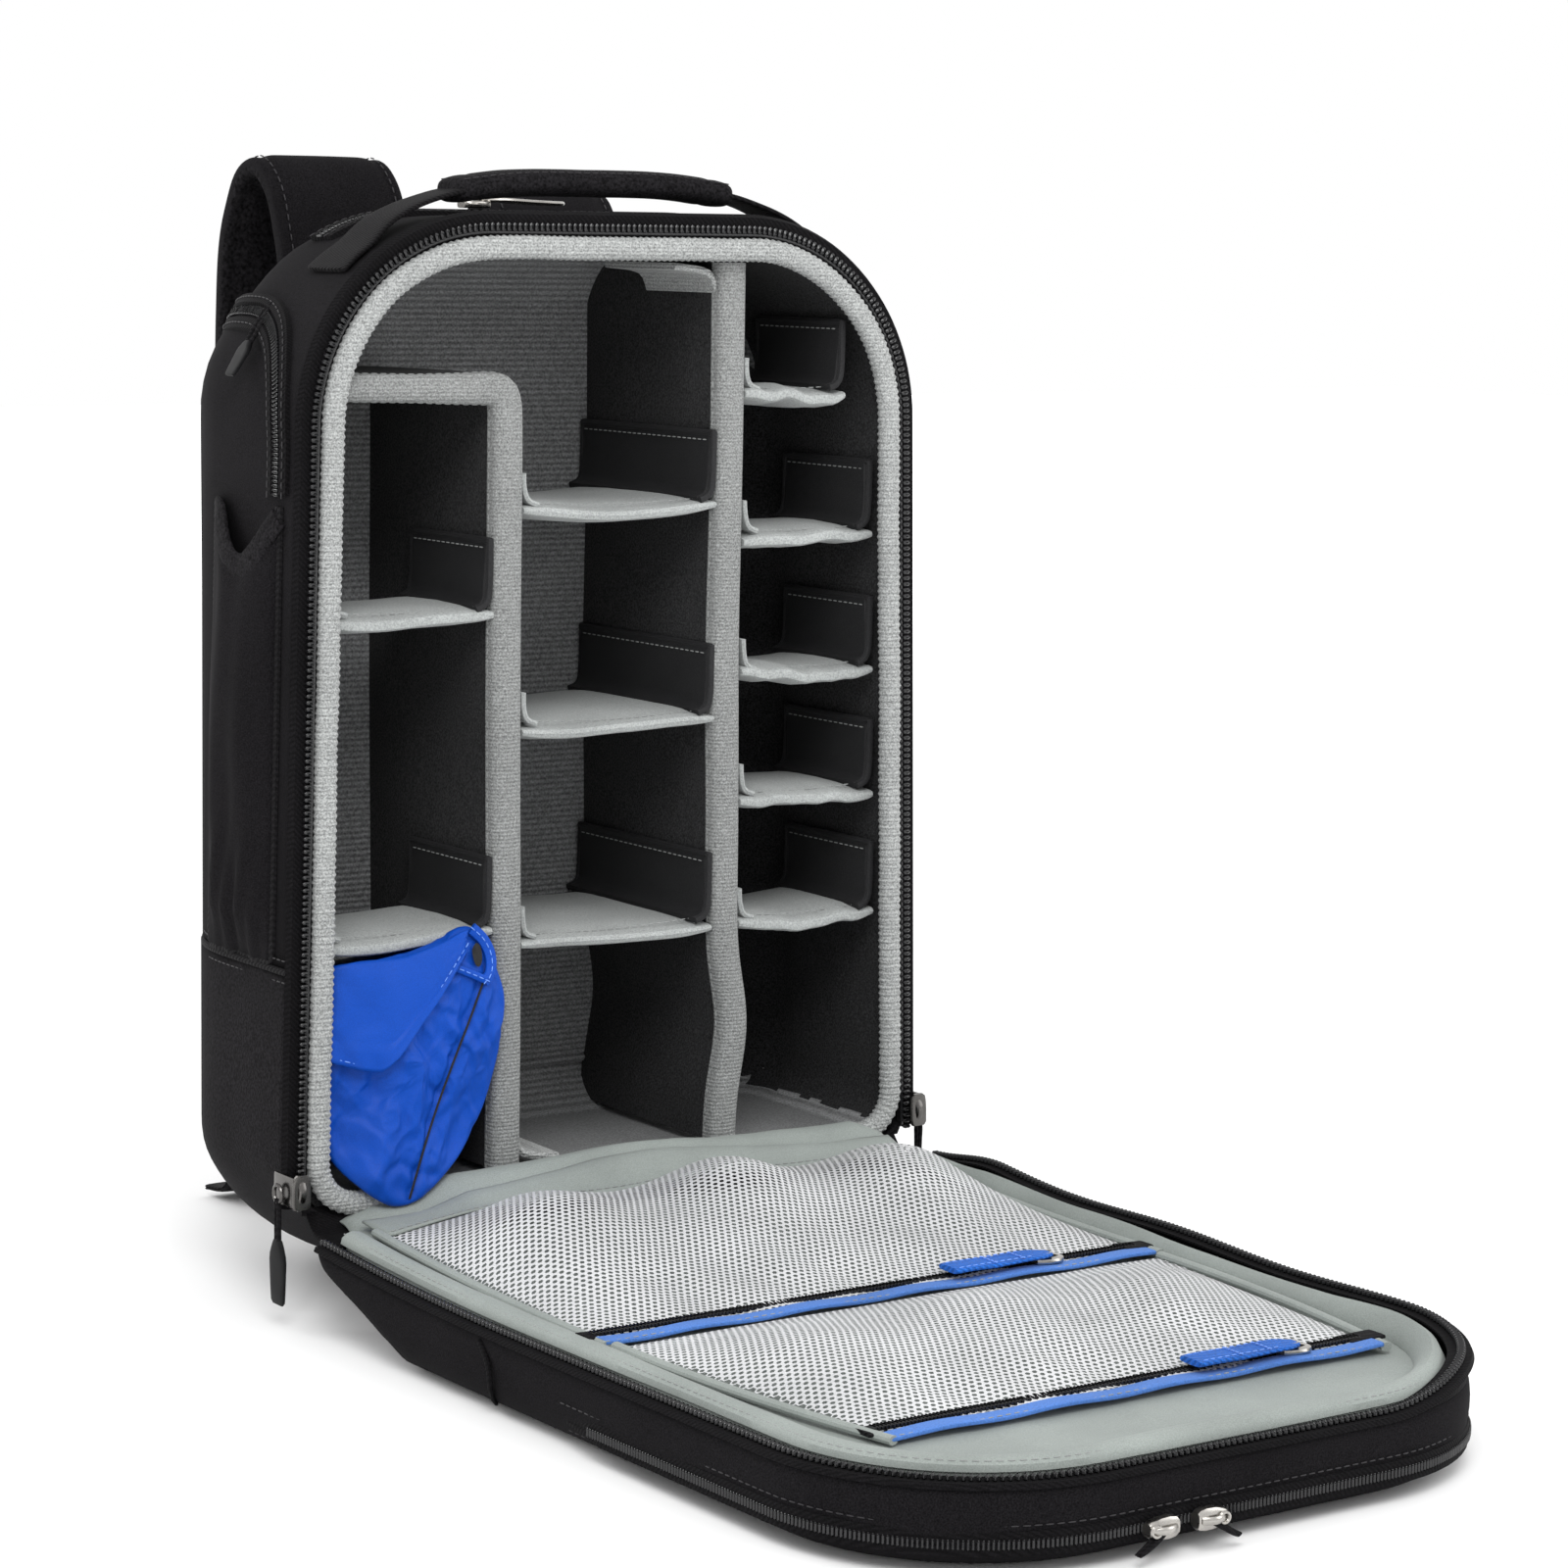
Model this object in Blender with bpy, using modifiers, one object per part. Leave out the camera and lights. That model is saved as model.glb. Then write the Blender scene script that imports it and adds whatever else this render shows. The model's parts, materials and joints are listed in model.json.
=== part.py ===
"""An open camera backpack lying on its base: a padded case whose front panel is unzipped
all round and folded down in front of it, with a set of padded dividers inside.

Metres, +Z up, the opening faces -Y. The origin is on the flat base, under the case.
"""
import math

import bmesh
import bpy

COLLECTION = "camera_bag"

# --- the opening: the line of the main zipper, in the plane the front panel closes on
RIM_HALF_LOW = 0.1425
RIM_HALF_HIGH = 0.1360
RIM_LOW = 0.0370
RIM_HIGH = 0.4170
RIM_R_LOW = 0.0248
RIM_R_HIGH = 0.0768
CORNER_STEPS = 6

# --- the case
GAP = 0.0004
FRONT_Y = -0.0572
BACK_Y = 0.0650
SHELL_OUT = 0.0040
SHELL_WALL = 0.0038
SHELL_R_LOW = 0.0600
BACK_ROUND = 0.0500
BASE_ROUND = 0.0450
LINER_BASE_ROUND = 0.0300
SEAM_Z = 0.1360
LINER_WALL = 0.0075
LINER_GAP = 0.0011
LINER_BACK_Y = 0.0585
BACK_STEPS = 4
SHEET_HALF = 0.0850
SHEET_LOW = 0.0750
SHEET_HIGH = 0.3500
SHEET_ROUND = 0.0200
SHEET_THICK = 0.0019
BASE_FOAM = ((-0.0760, -0.0568, 0.0044), (0.0760, 0.0180, 0.0364))

# --- the rim: offsets from the zipper line, and how far forward each piece reaches
RIM_FOOT = 0.0455
BINDING = (-0.0048, -0.0105)
BINDING_FRONT = -0.0638
TAPE = (0.0030, -0.0040)
TAPE_FRONT = -0.0594
CHAIN = (0.0018, -0.0018)
CHAIN_FRONT = -0.0628
RIM_BACK = -0.0576

# --- the main sliders and their pulls
SLIDER_LOW = 0.0460
SLIDER_HIGH = 0.0640
SLIDER_PIVOT = (-0.0600, 0.0550)
SLIDER_SECTION = (
    (-0.0018, -0.0074),
    (0.0066, -0.0074),
    (0.0066, 0.0100),
    (0.0046, 0.0100),
    (0.0046, -0.0033),
    (-0.0018, -0.0033),
)
PULL_OUTLINE = (
    (-0.0022, 0.0), (0.0022, 0.0), (0.0026, -0.018), (0.0060, -0.022),
    (0.0048, -0.046), (-0.0048, -0.046), (-0.0060, -0.022), (-0.0026, -0.018),
)
PULL_OUT = 0.0084
PULL_Y = -0.0585
PULL_THICK = 0.0024

# --- the front panel, lying open: a height z on the closed panel is y = PANEL_SHIFT - z
HINGE_Y = -0.0645
HINGE_Z = 0.0353
PANEL_SHIFT = HINGE_Y + HINGE_Z
PANEL_NEAR = HINGE_Z + 0.0010
PANEL_WALL_TOP = 0.0283
PANEL_ROUND = 0.0140
PANEL_OUT = 0.0035
PANEL_WALL = 0.0034
PANEL_FLOOR = 0.0003
LID_FOAM_OUT = -0.0110
LID_FOAM_Z = (0.0042, 0.0266)
LID_LINER_OUT = -0.0052
LID_LINER_LOW = 0.0269
LINER_TOP = 0.0320
LID_BORDER_OUT = (-0.0054, -0.0140)
LID_BORDER_TOP = 0.0346
LID_ZIP_OUT = (0.0030, -0.0044)
LID_ZIP_FOOT = 0.0480
LID_ZIP_Z = (0.0287, 0.0316)
FRONT_ZIP_OUT = (0.0056, 0.0039)
FRONT_ZIP_FOOT = 0.2200
FRONT_ZIP_Z = (0.0090, 0.0130)
FRONT_SLIDER = (0.0120, 0.0045, 0.0070, 0.0150)
FRONT_SLIDER_OUT = 0.0060
FRONT_SLIDER_X = (-0.0440, -0.0240)

# --- the net pockets: name, half width, far and near edges, and where the slider stands
NET_POCKETS = (
    ("lower", 0.1245, -0.2360, -0.0850, 0.0743),
    ("upper", 0.1125, -0.3800, -0.2520, 0.0692),
)
NET_ZIP_WIDE = 0.0150
POCKET_TOP = 0.0352
MESH_SLIDER = (0.0120, 0.0090, 0.0027)
MESH_PULL_X = (-0.0460, 0.0004)
MESH_PULL_WIDE = 0.0120
MESH_PULL_LIFT = 0.0030
MESH_PULL_THICK = 0.0015

# --- the dividers
DIVIDER_FRONT = -0.0560
DIVIDER_BACK = 0.0480
SHELF_FRONT = -0.0550
SHELF_BACK = 0.0080
MIDDLE_BACK = 0.0460
SHELF_THICK = 0.0080
FLAP_THICK = 0.0025
FLAP_HIGH = 0.0260
LEFT_DIVIDER = (-0.0542, -0.0415)
RIGHT_DIVIDER = (0.0487, 0.0613)
LEFT_DIVIDER_TOP = 0.3506
RIGHT_DIVIDER_TOP = 0.4045
DIVIDER_CORNER = 0.0060
DIVIDER_BACK_LOW_ROUND = 0.0300
DIVIDER_BACK_TOP_ROUND = 0.0520
DIVIDER_FOOT = 0.0479
TOP_SHELF_Z = 0.3552
INNER_OFFSET = -0.0109
LEFT_SHELVES = (0.1435, 0.2677)
MIDDLE_SHELVES = (0.1374, 0.2219, 0.3074)
RIGHT_SHELVES = (0.1364, 0.1873, 0.2382, 0.2942, 0.3512)
POUCH = ((-0.1270, -0.0600, 0.0494), (-0.0560, 0.0100, 0.1385))

# --- side pockets
POCKET_DEEP = 0.0110
POCKET_FRONT = -0.0440
POCKET_BACK = 0.0080
POCKET_LOW = 0.1380
POCKET_HIGH = 0.3120
POCKET_WALL = 0.0014

# --- straps and handle
STRAP_X = 0.0650
STRAP_WIDTH = 0.0620
STRAP_THICK = 0.0100
RIGHT_STRAP_SINK = 0.0120
PAD_OUTLINE = ((-0.040, 0.070), (0.040, 0.330), 0.018)
PAD_X = 0.0550
PAD_THICK = 0.0126
YOKE = ((0.0710, 0.345), (0.0712, 0.385), (0.0745, 0.414), (0.0810, 0.430))
HANG = (
    (0.0905, 0.4400), (0.1000, 0.4370), (0.1080, 0.4200), (0.1120, 0.3800),
    (0.1125, 0.3000), (0.1100, 0.2100), (0.1060, 0.1300),
)
TAIL = ((0.1075, 0.1035), (0.1120, 0.0600), (0.1210, 0.0220), (0.1340, 0.0055), (0.1500, 0.0028))
SINK_ABOVE = 0.4000
WEBBING_HALF = 0.0125
WEBBING_THICK = 0.0018
BUCKLE = ((-0.0170, 0.1035, 0.1050), (0.0170, 0.1095, 0.1290))
HANDLE_Y = -0.0325
GRIP_PATH = ((-0.066, 0.0, -0.0012), (-0.050, 0.0, 0.0), (0.050, 0.0, 0.0), (0.066, 0.0, -0.0012))
GRIP_RADIUS = 0.0075
GRIP_Z = 0.4312
ANCHOR_ANGLE = 73
ANCHOR_OUT = 0.0023
ANCHOR_SIZE = (0.022, 0.024, 0.002)

# --- small zippers on the outside
TOP_ZIP_Y = 0.0040
TOP_ZIP_FOOT = 0.3600
TOP_ZIP_OUT = 0.0016
TOP_ZIP_RADIUS = 0.0011
TOP_SLIDER = ((-0.0360, -0.0020, 0.0031), (-0.0240, 0.0100, 0.0061))
SIDE_PULL_ANGLE = 36
SIDE_PULL_TILT = 30
SIDE_PULL_LOW = (-0.0030, -0.0140, -0.0340)
SIDE_PULL_HIGH = (-0.0006, -0.0050, 0.0020)

COLOURS = {
    "black_fabric": ((0.018, 0.017, 0.019), 0.85, 0.0),
    "black_plastic": ((0.012, 0.012, 0.013), 0.45, 0.0),
    "grey_lining": ((0.36, 0.38, 0.38), 0.90, 0.0),
    "light_grey": ((0.56, 0.58, 0.57), 0.85, 0.0),
    "mesh": ((0.45, 0.45, 0.46), 0.80, 0.0),
    "blue_nylon": ((0.02, 0.09, 0.62), 0.55, 0.0),
    "blue_band": ((0.11, 0.27, 0.72), 0.75, 0.0),
    "metal": ((0.55, 0.55, 0.57), 0.28, 1.0),
    "foam": ((0.20, 0.20, 0.21), 0.95, 0.0),
    "board": ((0.70, 0.70, 0.68), 0.50, 0.0),
}

SIDE_TILT = math.atan((RIM_HALF_LOW - RIM_HALF_HIGH) / (RIM_HIGH - RIM_R_HIGH - RIM_LOW - RIM_R_LOW))
FACE_FRONT = (math.pi / 2, 0.0, 0.0)
FACE_DOWN = (math.pi, 0.0, 0.0)
FACE_SIDE = (math.pi / 2, 0.0, math.pi / 2)


def new_collection(name):
    group = bpy.data.collections.new(name)
    bpy.context.scene.collection.children.link(group)
    return group


def clear_scene():
    for thing in list(bpy.data.objects):
        bpy.data.objects.remove(thing, do_unlink=True)


clear_scene()
parts = new_collection(COLLECTION)
cutters = new_collection("cutters")


def finish(thing, colour):
    """Give a part its own material."""
    base, rough, metal = COLOURS[colour]
    skin = bpy.data.materials.new(thing.name)
    skin.use_nodes = True
    shader = skin.node_tree.nodes["Principled BSDF"]
    shader.inputs["Base Color"].default_value = (*base, 1.0)
    shader.inputs["Roughness"].default_value = rough
    shader.inputs["Metallic"].default_value = metal
    thing.data.materials.append(skin)
    return thing


# ---------------------------------------------------------------- outlines

def arc(centre, radius, start, end, steps=CORNER_STEPS):
    """Points on an arc, from one angle to another in degrees."""
    angles = [math.radians(start + (end - start) * i / steps) for i in range(steps + 1)]
    return [(centre[0] + radius * math.cos(a), centre[1] + radius * math.sin(a)) for a in angles]


def tapered(half_low, half_high, low, high, r_low, r_high):
    """A closed outline with round corners, narrower at the top."""
    return (
        arc((half_low - r_low, low + r_low), r_low, -90, 0)
        + arc((half_high - r_high, high - r_high), r_high, 0, 90)
        + arc((r_high - half_high, high - r_high), r_high, 90, 180)
        + arc((r_low - half_low, low + r_low), r_low, 180, 270)
    )


def rim_outline(offset):
    """The line of the main zipper, moved outwards."""
    return tapered(
        RIM_HALF_LOW + offset,
        RIM_HALF_HIGH + offset,
        RIM_LOW - offset,
        RIM_HIGH + offset,
        RIM_R_LOW + offset,
        RIM_R_HIGH + offset,
    )


def rim_half(z, offset=0.0):
    """Half the opening's width at a height, on its straight sides and its top corners."""
    arc_z = RIM_HIGH - RIM_R_HIGH
    if z <= arc_z:
        return RIM_HALF_HIGH + (arc_z - z) * math.tan(SIDE_TILT) + offset
    radius = RIM_R_HIGH + offset
    return RIM_HALF_HIGH - RIM_R_HIGH + math.sqrt(radius ** 2 - (z - arc_z) ** 2)


def arch(offset, foot):
    """The rim without its bottom edge: from a right foot, over the top, to a left foot."""
    radius = RIM_R_HIGH + offset
    centre_x = RIM_HALF_HIGH - RIM_R_HIGH
    centre_z = RIM_HIGH - RIM_R_HIGH
    side = rim_half(foot, offset)
    return (
        [(side, foot)]
        + arc((centre_x, centre_z), radius, 0, 90)
        + arc((-centre_x, centre_z), radius, 90, 180)
        + [(-side, foot)]
    )


def panel_outline(offset):
    """The front panel's outline, which stops short of the hinge."""
    return tapered(
        RIM_HALF_LOW + offset,
        RIM_HALF_HIGH + offset,
        max(RIM_LOW - offset, PANEL_NEAR),
        RIM_HIGH + offset,
        RIM_R_LOW + min(offset, 0.0),
        RIM_R_HIGH + offset,
    )


def box_outline(low, high, radii=(0.0, 0.0, 0.0, 0.0)):
    """A rectangle, with a radius for each corner: low left, low right, high right, high left."""
    (x0, y0), (x1, y1) = low, high
    corners = (
        ((x0, y0), (1, 1), 180),
        ((x1, y0), (-1, 1), 270),
        ((x1, y1), (-1, -1), 0),
        ((x0, y1), (1, -1), 90),
    )
    points = []
    for ((x, y), (sx, sy), start), radius in zip(corners, radii):
        if radius:
            points += arc((x + sx * radius, y + sy * radius), radius, start, start + 90, 4)
        else:
            points.append((x, y))
    return points


def ribbon(path, thickness):
    """The closed outline of a strap seen from the side, half its thickness each way."""
    left, right = [], []
    for i, (x, y) in enumerate(path):
        ax, ay = path[max(i - 1, 0)]
        bx, by = path[min(i + 1, len(path) - 1)]
        length = math.hypot(bx - ax, by - ay)
        nx, ny = -(by - ay) / length, (bx - ax) / length
        left.append((x + nx * thickness / 2, y + ny * thickness / 2))
        right.append((x - nx * thickness / 2, y - ny * thickness / 2))
    return left + right[::-1]


def smooth(path, steps=3):
    """More points on a smooth curve through the given ones."""
    ends = [path[0]] + list(path) + [path[-1]]
    points = []
    for p, q, r, s in zip(ends, ends[1:], ends[2:], ends[3:]):
        for i in range(steps):
            t = i / steps
            weights = (
                -0.5 * t ** 3 + t ** 2 - 0.5 * t,
                1.5 * t ** 3 - 2.5 * t ** 2 + 1.0,
                -1.5 * t ** 3 + 2.0 * t ** 2 + 0.5 * t,
                0.5 * t ** 3 - 0.5 * t ** 2,
            )
            points.append(tuple(sum(w * v[k] for w, v in zip(weights, (p, q, r, s))) for k in (0, 1)))
    return points + [path[-1]]


# ---------------------------------------------------------------- solids

def flat(name, outlines, thickness, location, rotation, colour):
    """A flat piece: a filled outline, with any further outlines as holes, and a thickness."""
    curve = bpy.data.curves.new(name, "CURVE")
    curve.dimensions = "2D"
    curve.fill_mode = "BOTH"
    curve.extrude = thickness / 2
    for outline in outlines:
        spline = curve.splines.new("POLY")
        spline.points.add(len(outline) - 1)
        for point, (x, y) in zip(spline.points, outline):
            point.co = (x, y, 0.0, 1.0)
        spline.use_cyclic_u = True
    thing = bpy.data.objects.new(name, curve)
    thing.location = location
    thing.rotation_euler = rotation
    parts.objects.link(thing)
    return finish(thing, colour)


def facing(name, outlines, y0, y1, colour):
    """A flat piece in the XZ plane, from y0 to y1."""
    return flat(name, outlines, y1 - y0, (0.0, (y0 + y1) / 2, 0.0), FACE_FRONT, colour)


def lying(name, outlines, z0, z1, colour):
    """A piece of the open front panel, its outline given as on the closed panel, from z0 to z1."""
    return flat(name, outlines, z1 - z0, (0.0, PANEL_SHIFT, (z0 + z1) / 2), FACE_DOWN, colour)


def across(name, outline, x0, x1, colour, location=(0.0, 0.0)):
    """A flat piece in the YZ plane, from x0 to x1."""
    place = ((x0 + x1) / 2, location[0], location[1])
    return flat(name, [outline], x1 - x0, place, FACE_SIDE, colour)


def tube(name, path, radius, colour, location=(0.0, 0.0, 0.0)):
    """A round bar through points, with closed ends."""
    curve = bpy.data.curves.new(name, "CURVE")
    curve.dimensions = "3D"
    curve.bevel_depth = radius
    curve.bevel_resolution = 2
    curve.use_fill_caps = True
    spline = curve.splines.new("POLY")
    spline.points.add(len(path) - 1)
    for point, place in zip(spline.points, path):
        point.co = (*place, 1.0)
    thing = bpy.data.objects.new(name, curve)
    thing.location = location
    parts.objects.link(thing)
    return finish(thing, colour)


def block(name, low, high, colour, bevel=0.0, pivot=None, tilt=0.0, group=None):
    """A box between two corners, turned about Y by tilt at its pivot."""
    pivot = pivot or tuple((a + b) / 2 for a, b in zip(low, high))
    mesh = bpy.data.meshes.new(name)
    bm = bmesh.new()
    bmesh.ops.create_cube(bm, size=1.0)
    for vert in bm.verts:
        vert.co = [a + (c + 0.5) * (b - a) - p for c, a, b, p in zip(vert.co, low, high, pivot)]
    bm.to_mesh(mesh)
    bm.free()
    thing = bpy.data.objects.new(name, mesh)
    thing.location = pivot
    thing.rotation_euler = (0.0, tilt, 0.0)
    (group or parts).objects.link(thing)
    if bevel:
        edge = thing.modifiers.new("round", "BEVEL")
        edge.width = bevel
        edge.segments = 2
    if group is None:
        finish(thing, colour)
    return thing


def cutter(name, low, high, tilt=0.0, pivot=None):
    """A box that is cut away and isn't a part."""
    thing = block(name, low, high, "foam", tilt=tilt, pivot=pivot, group=cutters)
    thing.hide_render = True
    thing.display_type = "WIRE"
    return thing


def cut(thing, tool):
    """Take a cutter's shape away from a part."""
    step = thing.modifiers.new("cut", "BOOLEAN")
    step.operation = "DIFFERENCE"
    step.object = tool


def cup(name, rings, wall, colour):
    """A cup lofted through rings of points, closed by its last ring and thickened inwards."""
    mesh = bpy.data.meshes.new(name)
    bm = bmesh.new()
    loops = [[bm.verts.new(p) for p in ring] for ring in rings]
    count = len(rings[0])
    for near, far in zip(loops, loops[1:]):
        for i in range(count):
            j = (i + 1) % count
            bm.faces.new((near[i], near[j], far[j], far[i]))
    bm.faces.new(loops[-1])
    bmesh.ops.recalc_face_normals(bm, faces=bm.faces)
    bm.normal_update()
    if bm.faces[-1].normal.dot(bm.faces[-1].calc_center_median() - loops[0][0].co) < 0:
        bmesh.ops.reverse_faces(bm, faces=bm.faces)
    bm.to_mesh(mesh)
    bm.free()
    thing = bpy.data.objects.new(name, mesh)
    parts.objects.link(thing)
    solid = thing.modifiers.new("wall", "SOLIDIFY")
    solid.thickness = wall
    solid.offset = -1.0
    solid.use_even_offset = True
    return finish(thing, colour)


def round_in(distance, radius):
    """How far a rounded edge has come in at a distance from its end plane."""
    if distance >= radius:
        return 0.0
    return radius - math.sqrt(max(radius ** 2 - (radius - distance) ** 2, 0.0))


# ---------------------------------------------------------------- the case

def case_rings(offset, front, back, low, r_low, side_round, base_round):
    """Sections of the case from its open front to its back, which is rounded all round."""
    stations = [front, back - side_round]
    for i in range(1, BACK_STEPS + 1):
        stations.append(back - side_round * (1.0 - math.sin(math.pi / 2 * i / BACK_STEPS)))
    rings = []
    for y in stations:
        side = round_in(back - y, side_round)
        base = round_in(back - y, base_round)
        outline = tapered(
            RIM_HALF_LOW + offset - side,
            RIM_HALF_HIGH + offset - side,
            low + base,
            RIM_HIGH + offset - side,
            max(r_low - side * 0.5, 0.006),
            RIM_R_HIGH + offset - side * 0.5,
        )
        rings.append([(x, y, z) for x, z in outline])
    return rings


def build_case():
    for name, low, high in (
        ("outer_shell", -0.01, SEAM_Z + GAP / 2),
        ("base_boot", SEAM_Z - GAP / 2, 0.50),
    ):
        rings = case_rings(SHELL_OUT, FRONT_Y, BACK_Y, 0.0, SHELL_R_LOW, BACK_ROUND, BASE_ROUND)
        shell = cup(name, rings, SHELL_WALL, "black_fabric")
        cut(shell, cutter("cut_" + name, (-0.3, -0.2, low), (0.3, 0.2, high)))
    outside = SHELL_OUT - SHELL_WALL - LINER_GAP
    rings = case_rings(
        outside,
        FRONT_Y,
        LINER_BACK_Y,
        RIM_LOW - outside,
        RIM_R_LOW + outside,
        BACK_ROUND,
        LINER_BASE_ROUND,
    )
    cup("padded_liner", rings, LINER_WALL, "grey_lining")
    sheet = box_outline((-SHEET_HALF, SHEET_LOW), (SHEET_HALF, SHEET_HIGH), (SHEET_ROUND,) * 4)
    facing("frame_sheet", [sheet], LINER_BACK_Y + GAP, LINER_BACK_Y + GAP + SHEET_THICK, "board")
    block("base_foam", *BASE_FOAM, "foam", bevel=0.003)


def build_rim():
    binding = [rim_outline(BINDING[0]), rim_outline(BINDING[1])]
    facing("rim_binding", binding, BINDING_FRONT, RIM_BACK, "light_grey")
    band = arch(TAPE[0], RIM_FOOT) + arch(TAPE[1], RIM_FOOT)[::-1]
    facing("rim_zipper_tape", [band], TAPE_FRONT, RIM_BACK, "black_fabric")
    chain = arch(CHAIN[0], RIM_FOOT) + arch(CHAIN[1], RIM_FOOT)[::-1]
    facing("rim_zipper_chain", [chain], CHAIN_FRONT, TAPE_FRONT - GAP, "black_plastic")


def build_main_sliders():
    """Two sliders on the outer side of the rim's straight edges, each with a hanging pull."""
    pivot_y, pivot_z = SLIDER_PIVOT
    edge = rim_half(pivot_z)
    for side, word in ((-1, "left"), (1, "right")):
        outline = [(side * x, y) for x, y in SLIDER_SECTION]
        place = (side * edge, pivot_y, pivot_z)
        turn = (0.0, -side * SIDE_TILT, 0.0)
        flat("main_slider_" + word, [outline], SLIDER_HIGH - SLIDER_LOW, place, turn, "metal")
        x = side * (edge + PULL_OUT)
        half = PULL_THICK / 2
        across("main_pull_" + word, PULL_OUTLINE, x - half, x + half, "black_plastic", (PULL_Y, pivot_z))


def build_handle():
    tube("handle_grip", GRIP_PATH, GRIP_RADIUS, "black_fabric", (0.0, HANDLE_Y, GRIP_Z))
    centre_x = RIM_HALF_HIGH - RIM_R_HIGH
    centre_z = RIM_HIGH - RIM_R_HIGH
    angle = math.radians(ANCHOR_ANGLE)
    radius = RIM_R_HIGH + SHELL_OUT + ANCHOR_OUT
    for side, word in ((-1, "left"), (1, "right")):
        x = side * (centre_x + radius * math.cos(angle))
        z = centre_z + radius * math.sin(angle)
        long, wide, thick = ANCHOR_SIZE
        low = (x - long / 2, HANDLE_Y - wide / 2, z - thick / 2)
        high = (x + long / 2, HANDLE_Y + wide / 2, z + thick / 2)
        tilt = side * (math.pi / 2 - angle)
        block("handle_anchor_" + word, low, high, "black_fabric", tilt=tilt)


def build_outer_zips():
    """The zipper over the top of the case, and the two small pulls on the outside."""
    path = [(x, TOP_ZIP_Y, z) for x, z in arch(SHELL_OUT + TOP_ZIP_OUT, TOP_ZIP_FOOT)[4:-4]]
    tube("top_zip_chain", path, TOP_ZIP_RADIUS, "black_plastic")
    top = RIM_HIGH + SHELL_OUT
    low, high = ((x, y, top + z) for x, y, z in TOP_SLIDER)
    block("top_zip_slider", low, high, "metal", bevel=0.001)
    angle = math.radians(SIDE_PULL_ANGLE)
    radius = RIM_R_HIGH + SHELL_OUT + TOP_ZIP_OUT
    x = -(RIM_HALF_HIGH - RIM_R_HIGH + radius * math.cos(angle))
    z = RIM_HIGH - RIM_R_HIGH + radius * math.sin(angle)
    block(
        "side_zip_pull",
        (x + SIDE_PULL_LOW[0], SIDE_PULL_LOW[1], z + SIDE_PULL_LOW[2]),
        (x + SIDE_PULL_HIGH[0], SIDE_PULL_HIGH[1], z + SIDE_PULL_HIGH[2]),
        "black_plastic",
        pivot=(x, (SIDE_PULL_LOW[1] + SIDE_PULL_HIGH[1]) / 2, z),
        tilt=math.radians(SIDE_PULL_TILT),
    )


def build_side_pockets():
    """A stretch pocket on each side, open at the top."""
    low, high = POCKET_LOW, POCKET_HIGH
    for side, word in ((-1, "left"), (1, "right")):
        edge = rim_half(0.5 * (low + high), SHELL_OUT)
        pivot = (side * edge, -0.0120, 0.5 * (low + high))
        xs = sorted((side * (edge + 0.0005), side * (edge + POCKET_DEEP)))
        outer = block(
            "side_pocket_" + word,
            (xs[0], POCKET_FRONT, low),
            (xs[1], POCKET_BACK, high),
            "black_fabric",
            bevel=0.001,
            pivot=pivot,
            tilt=-side * SIDE_TILT,
        )
        xs = sorted((side * (edge + POCKET_WALL), side * (edge + POCKET_DEEP - POCKET_WALL)))
        hollow = cutter(
            "cut_pocket_" + word,
            (xs[0], POCKET_FRONT + 0.002, low + 0.0025),
            (xs[1], POCKET_BACK - 0.002, high + 0.01),
            tilt=-side * SIDE_TILT,
            pivot=pivot,
        )
        cut(outer, hollow)


# ---------------------------------------------------------------- straps

def build_straps():
    tail = smooth(TAIL)
    for side, word, sink in ((-1, "left", 0.0), (1, "right", RIGHT_STRAP_SINK)):
        yoke = smooth([(y, z - sink * (z > SINK_ABOVE)) for y, z in YOKE])
        hang = smooth([(y, z - sink * (z > SINK_ABOVE)) for y, z in HANG])
        x = side * STRAP_X
        half = STRAP_WIDTH / 2
        low, high, radius = PAD_OUTLINE
        pad = [(px + side * PAD_X, pz) for px, pz in box_outline(low, high, (radius,) * 4)]
        facing("back_pad_" + word, [pad], BACK_Y + GAP, BACK_Y + GAP + PAD_THICK, "black_fabric")
        across("strap_yoke_" + word, ribbon(yoke, STRAP_THICK), x - half, x + half, "black_fabric")
        across("shoulder_strap_" + word, ribbon(hang, STRAP_THICK), x - half, x + half, "black_fabric")
        corners = [(x + bx, by, bz) for bx, by, bz in BUCKLE]
        block("ladder_buckle_" + word, *corners, "black_plastic", bevel=0.0015)
        sides = (x - WEBBING_HALF, x + WEBBING_HALF)
        across("strap_webbing_" + word, ribbon(tail, WEBBING_THICK), *sides, "black_fabric")


# ---------------------------------------------------------------- dividers

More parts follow.
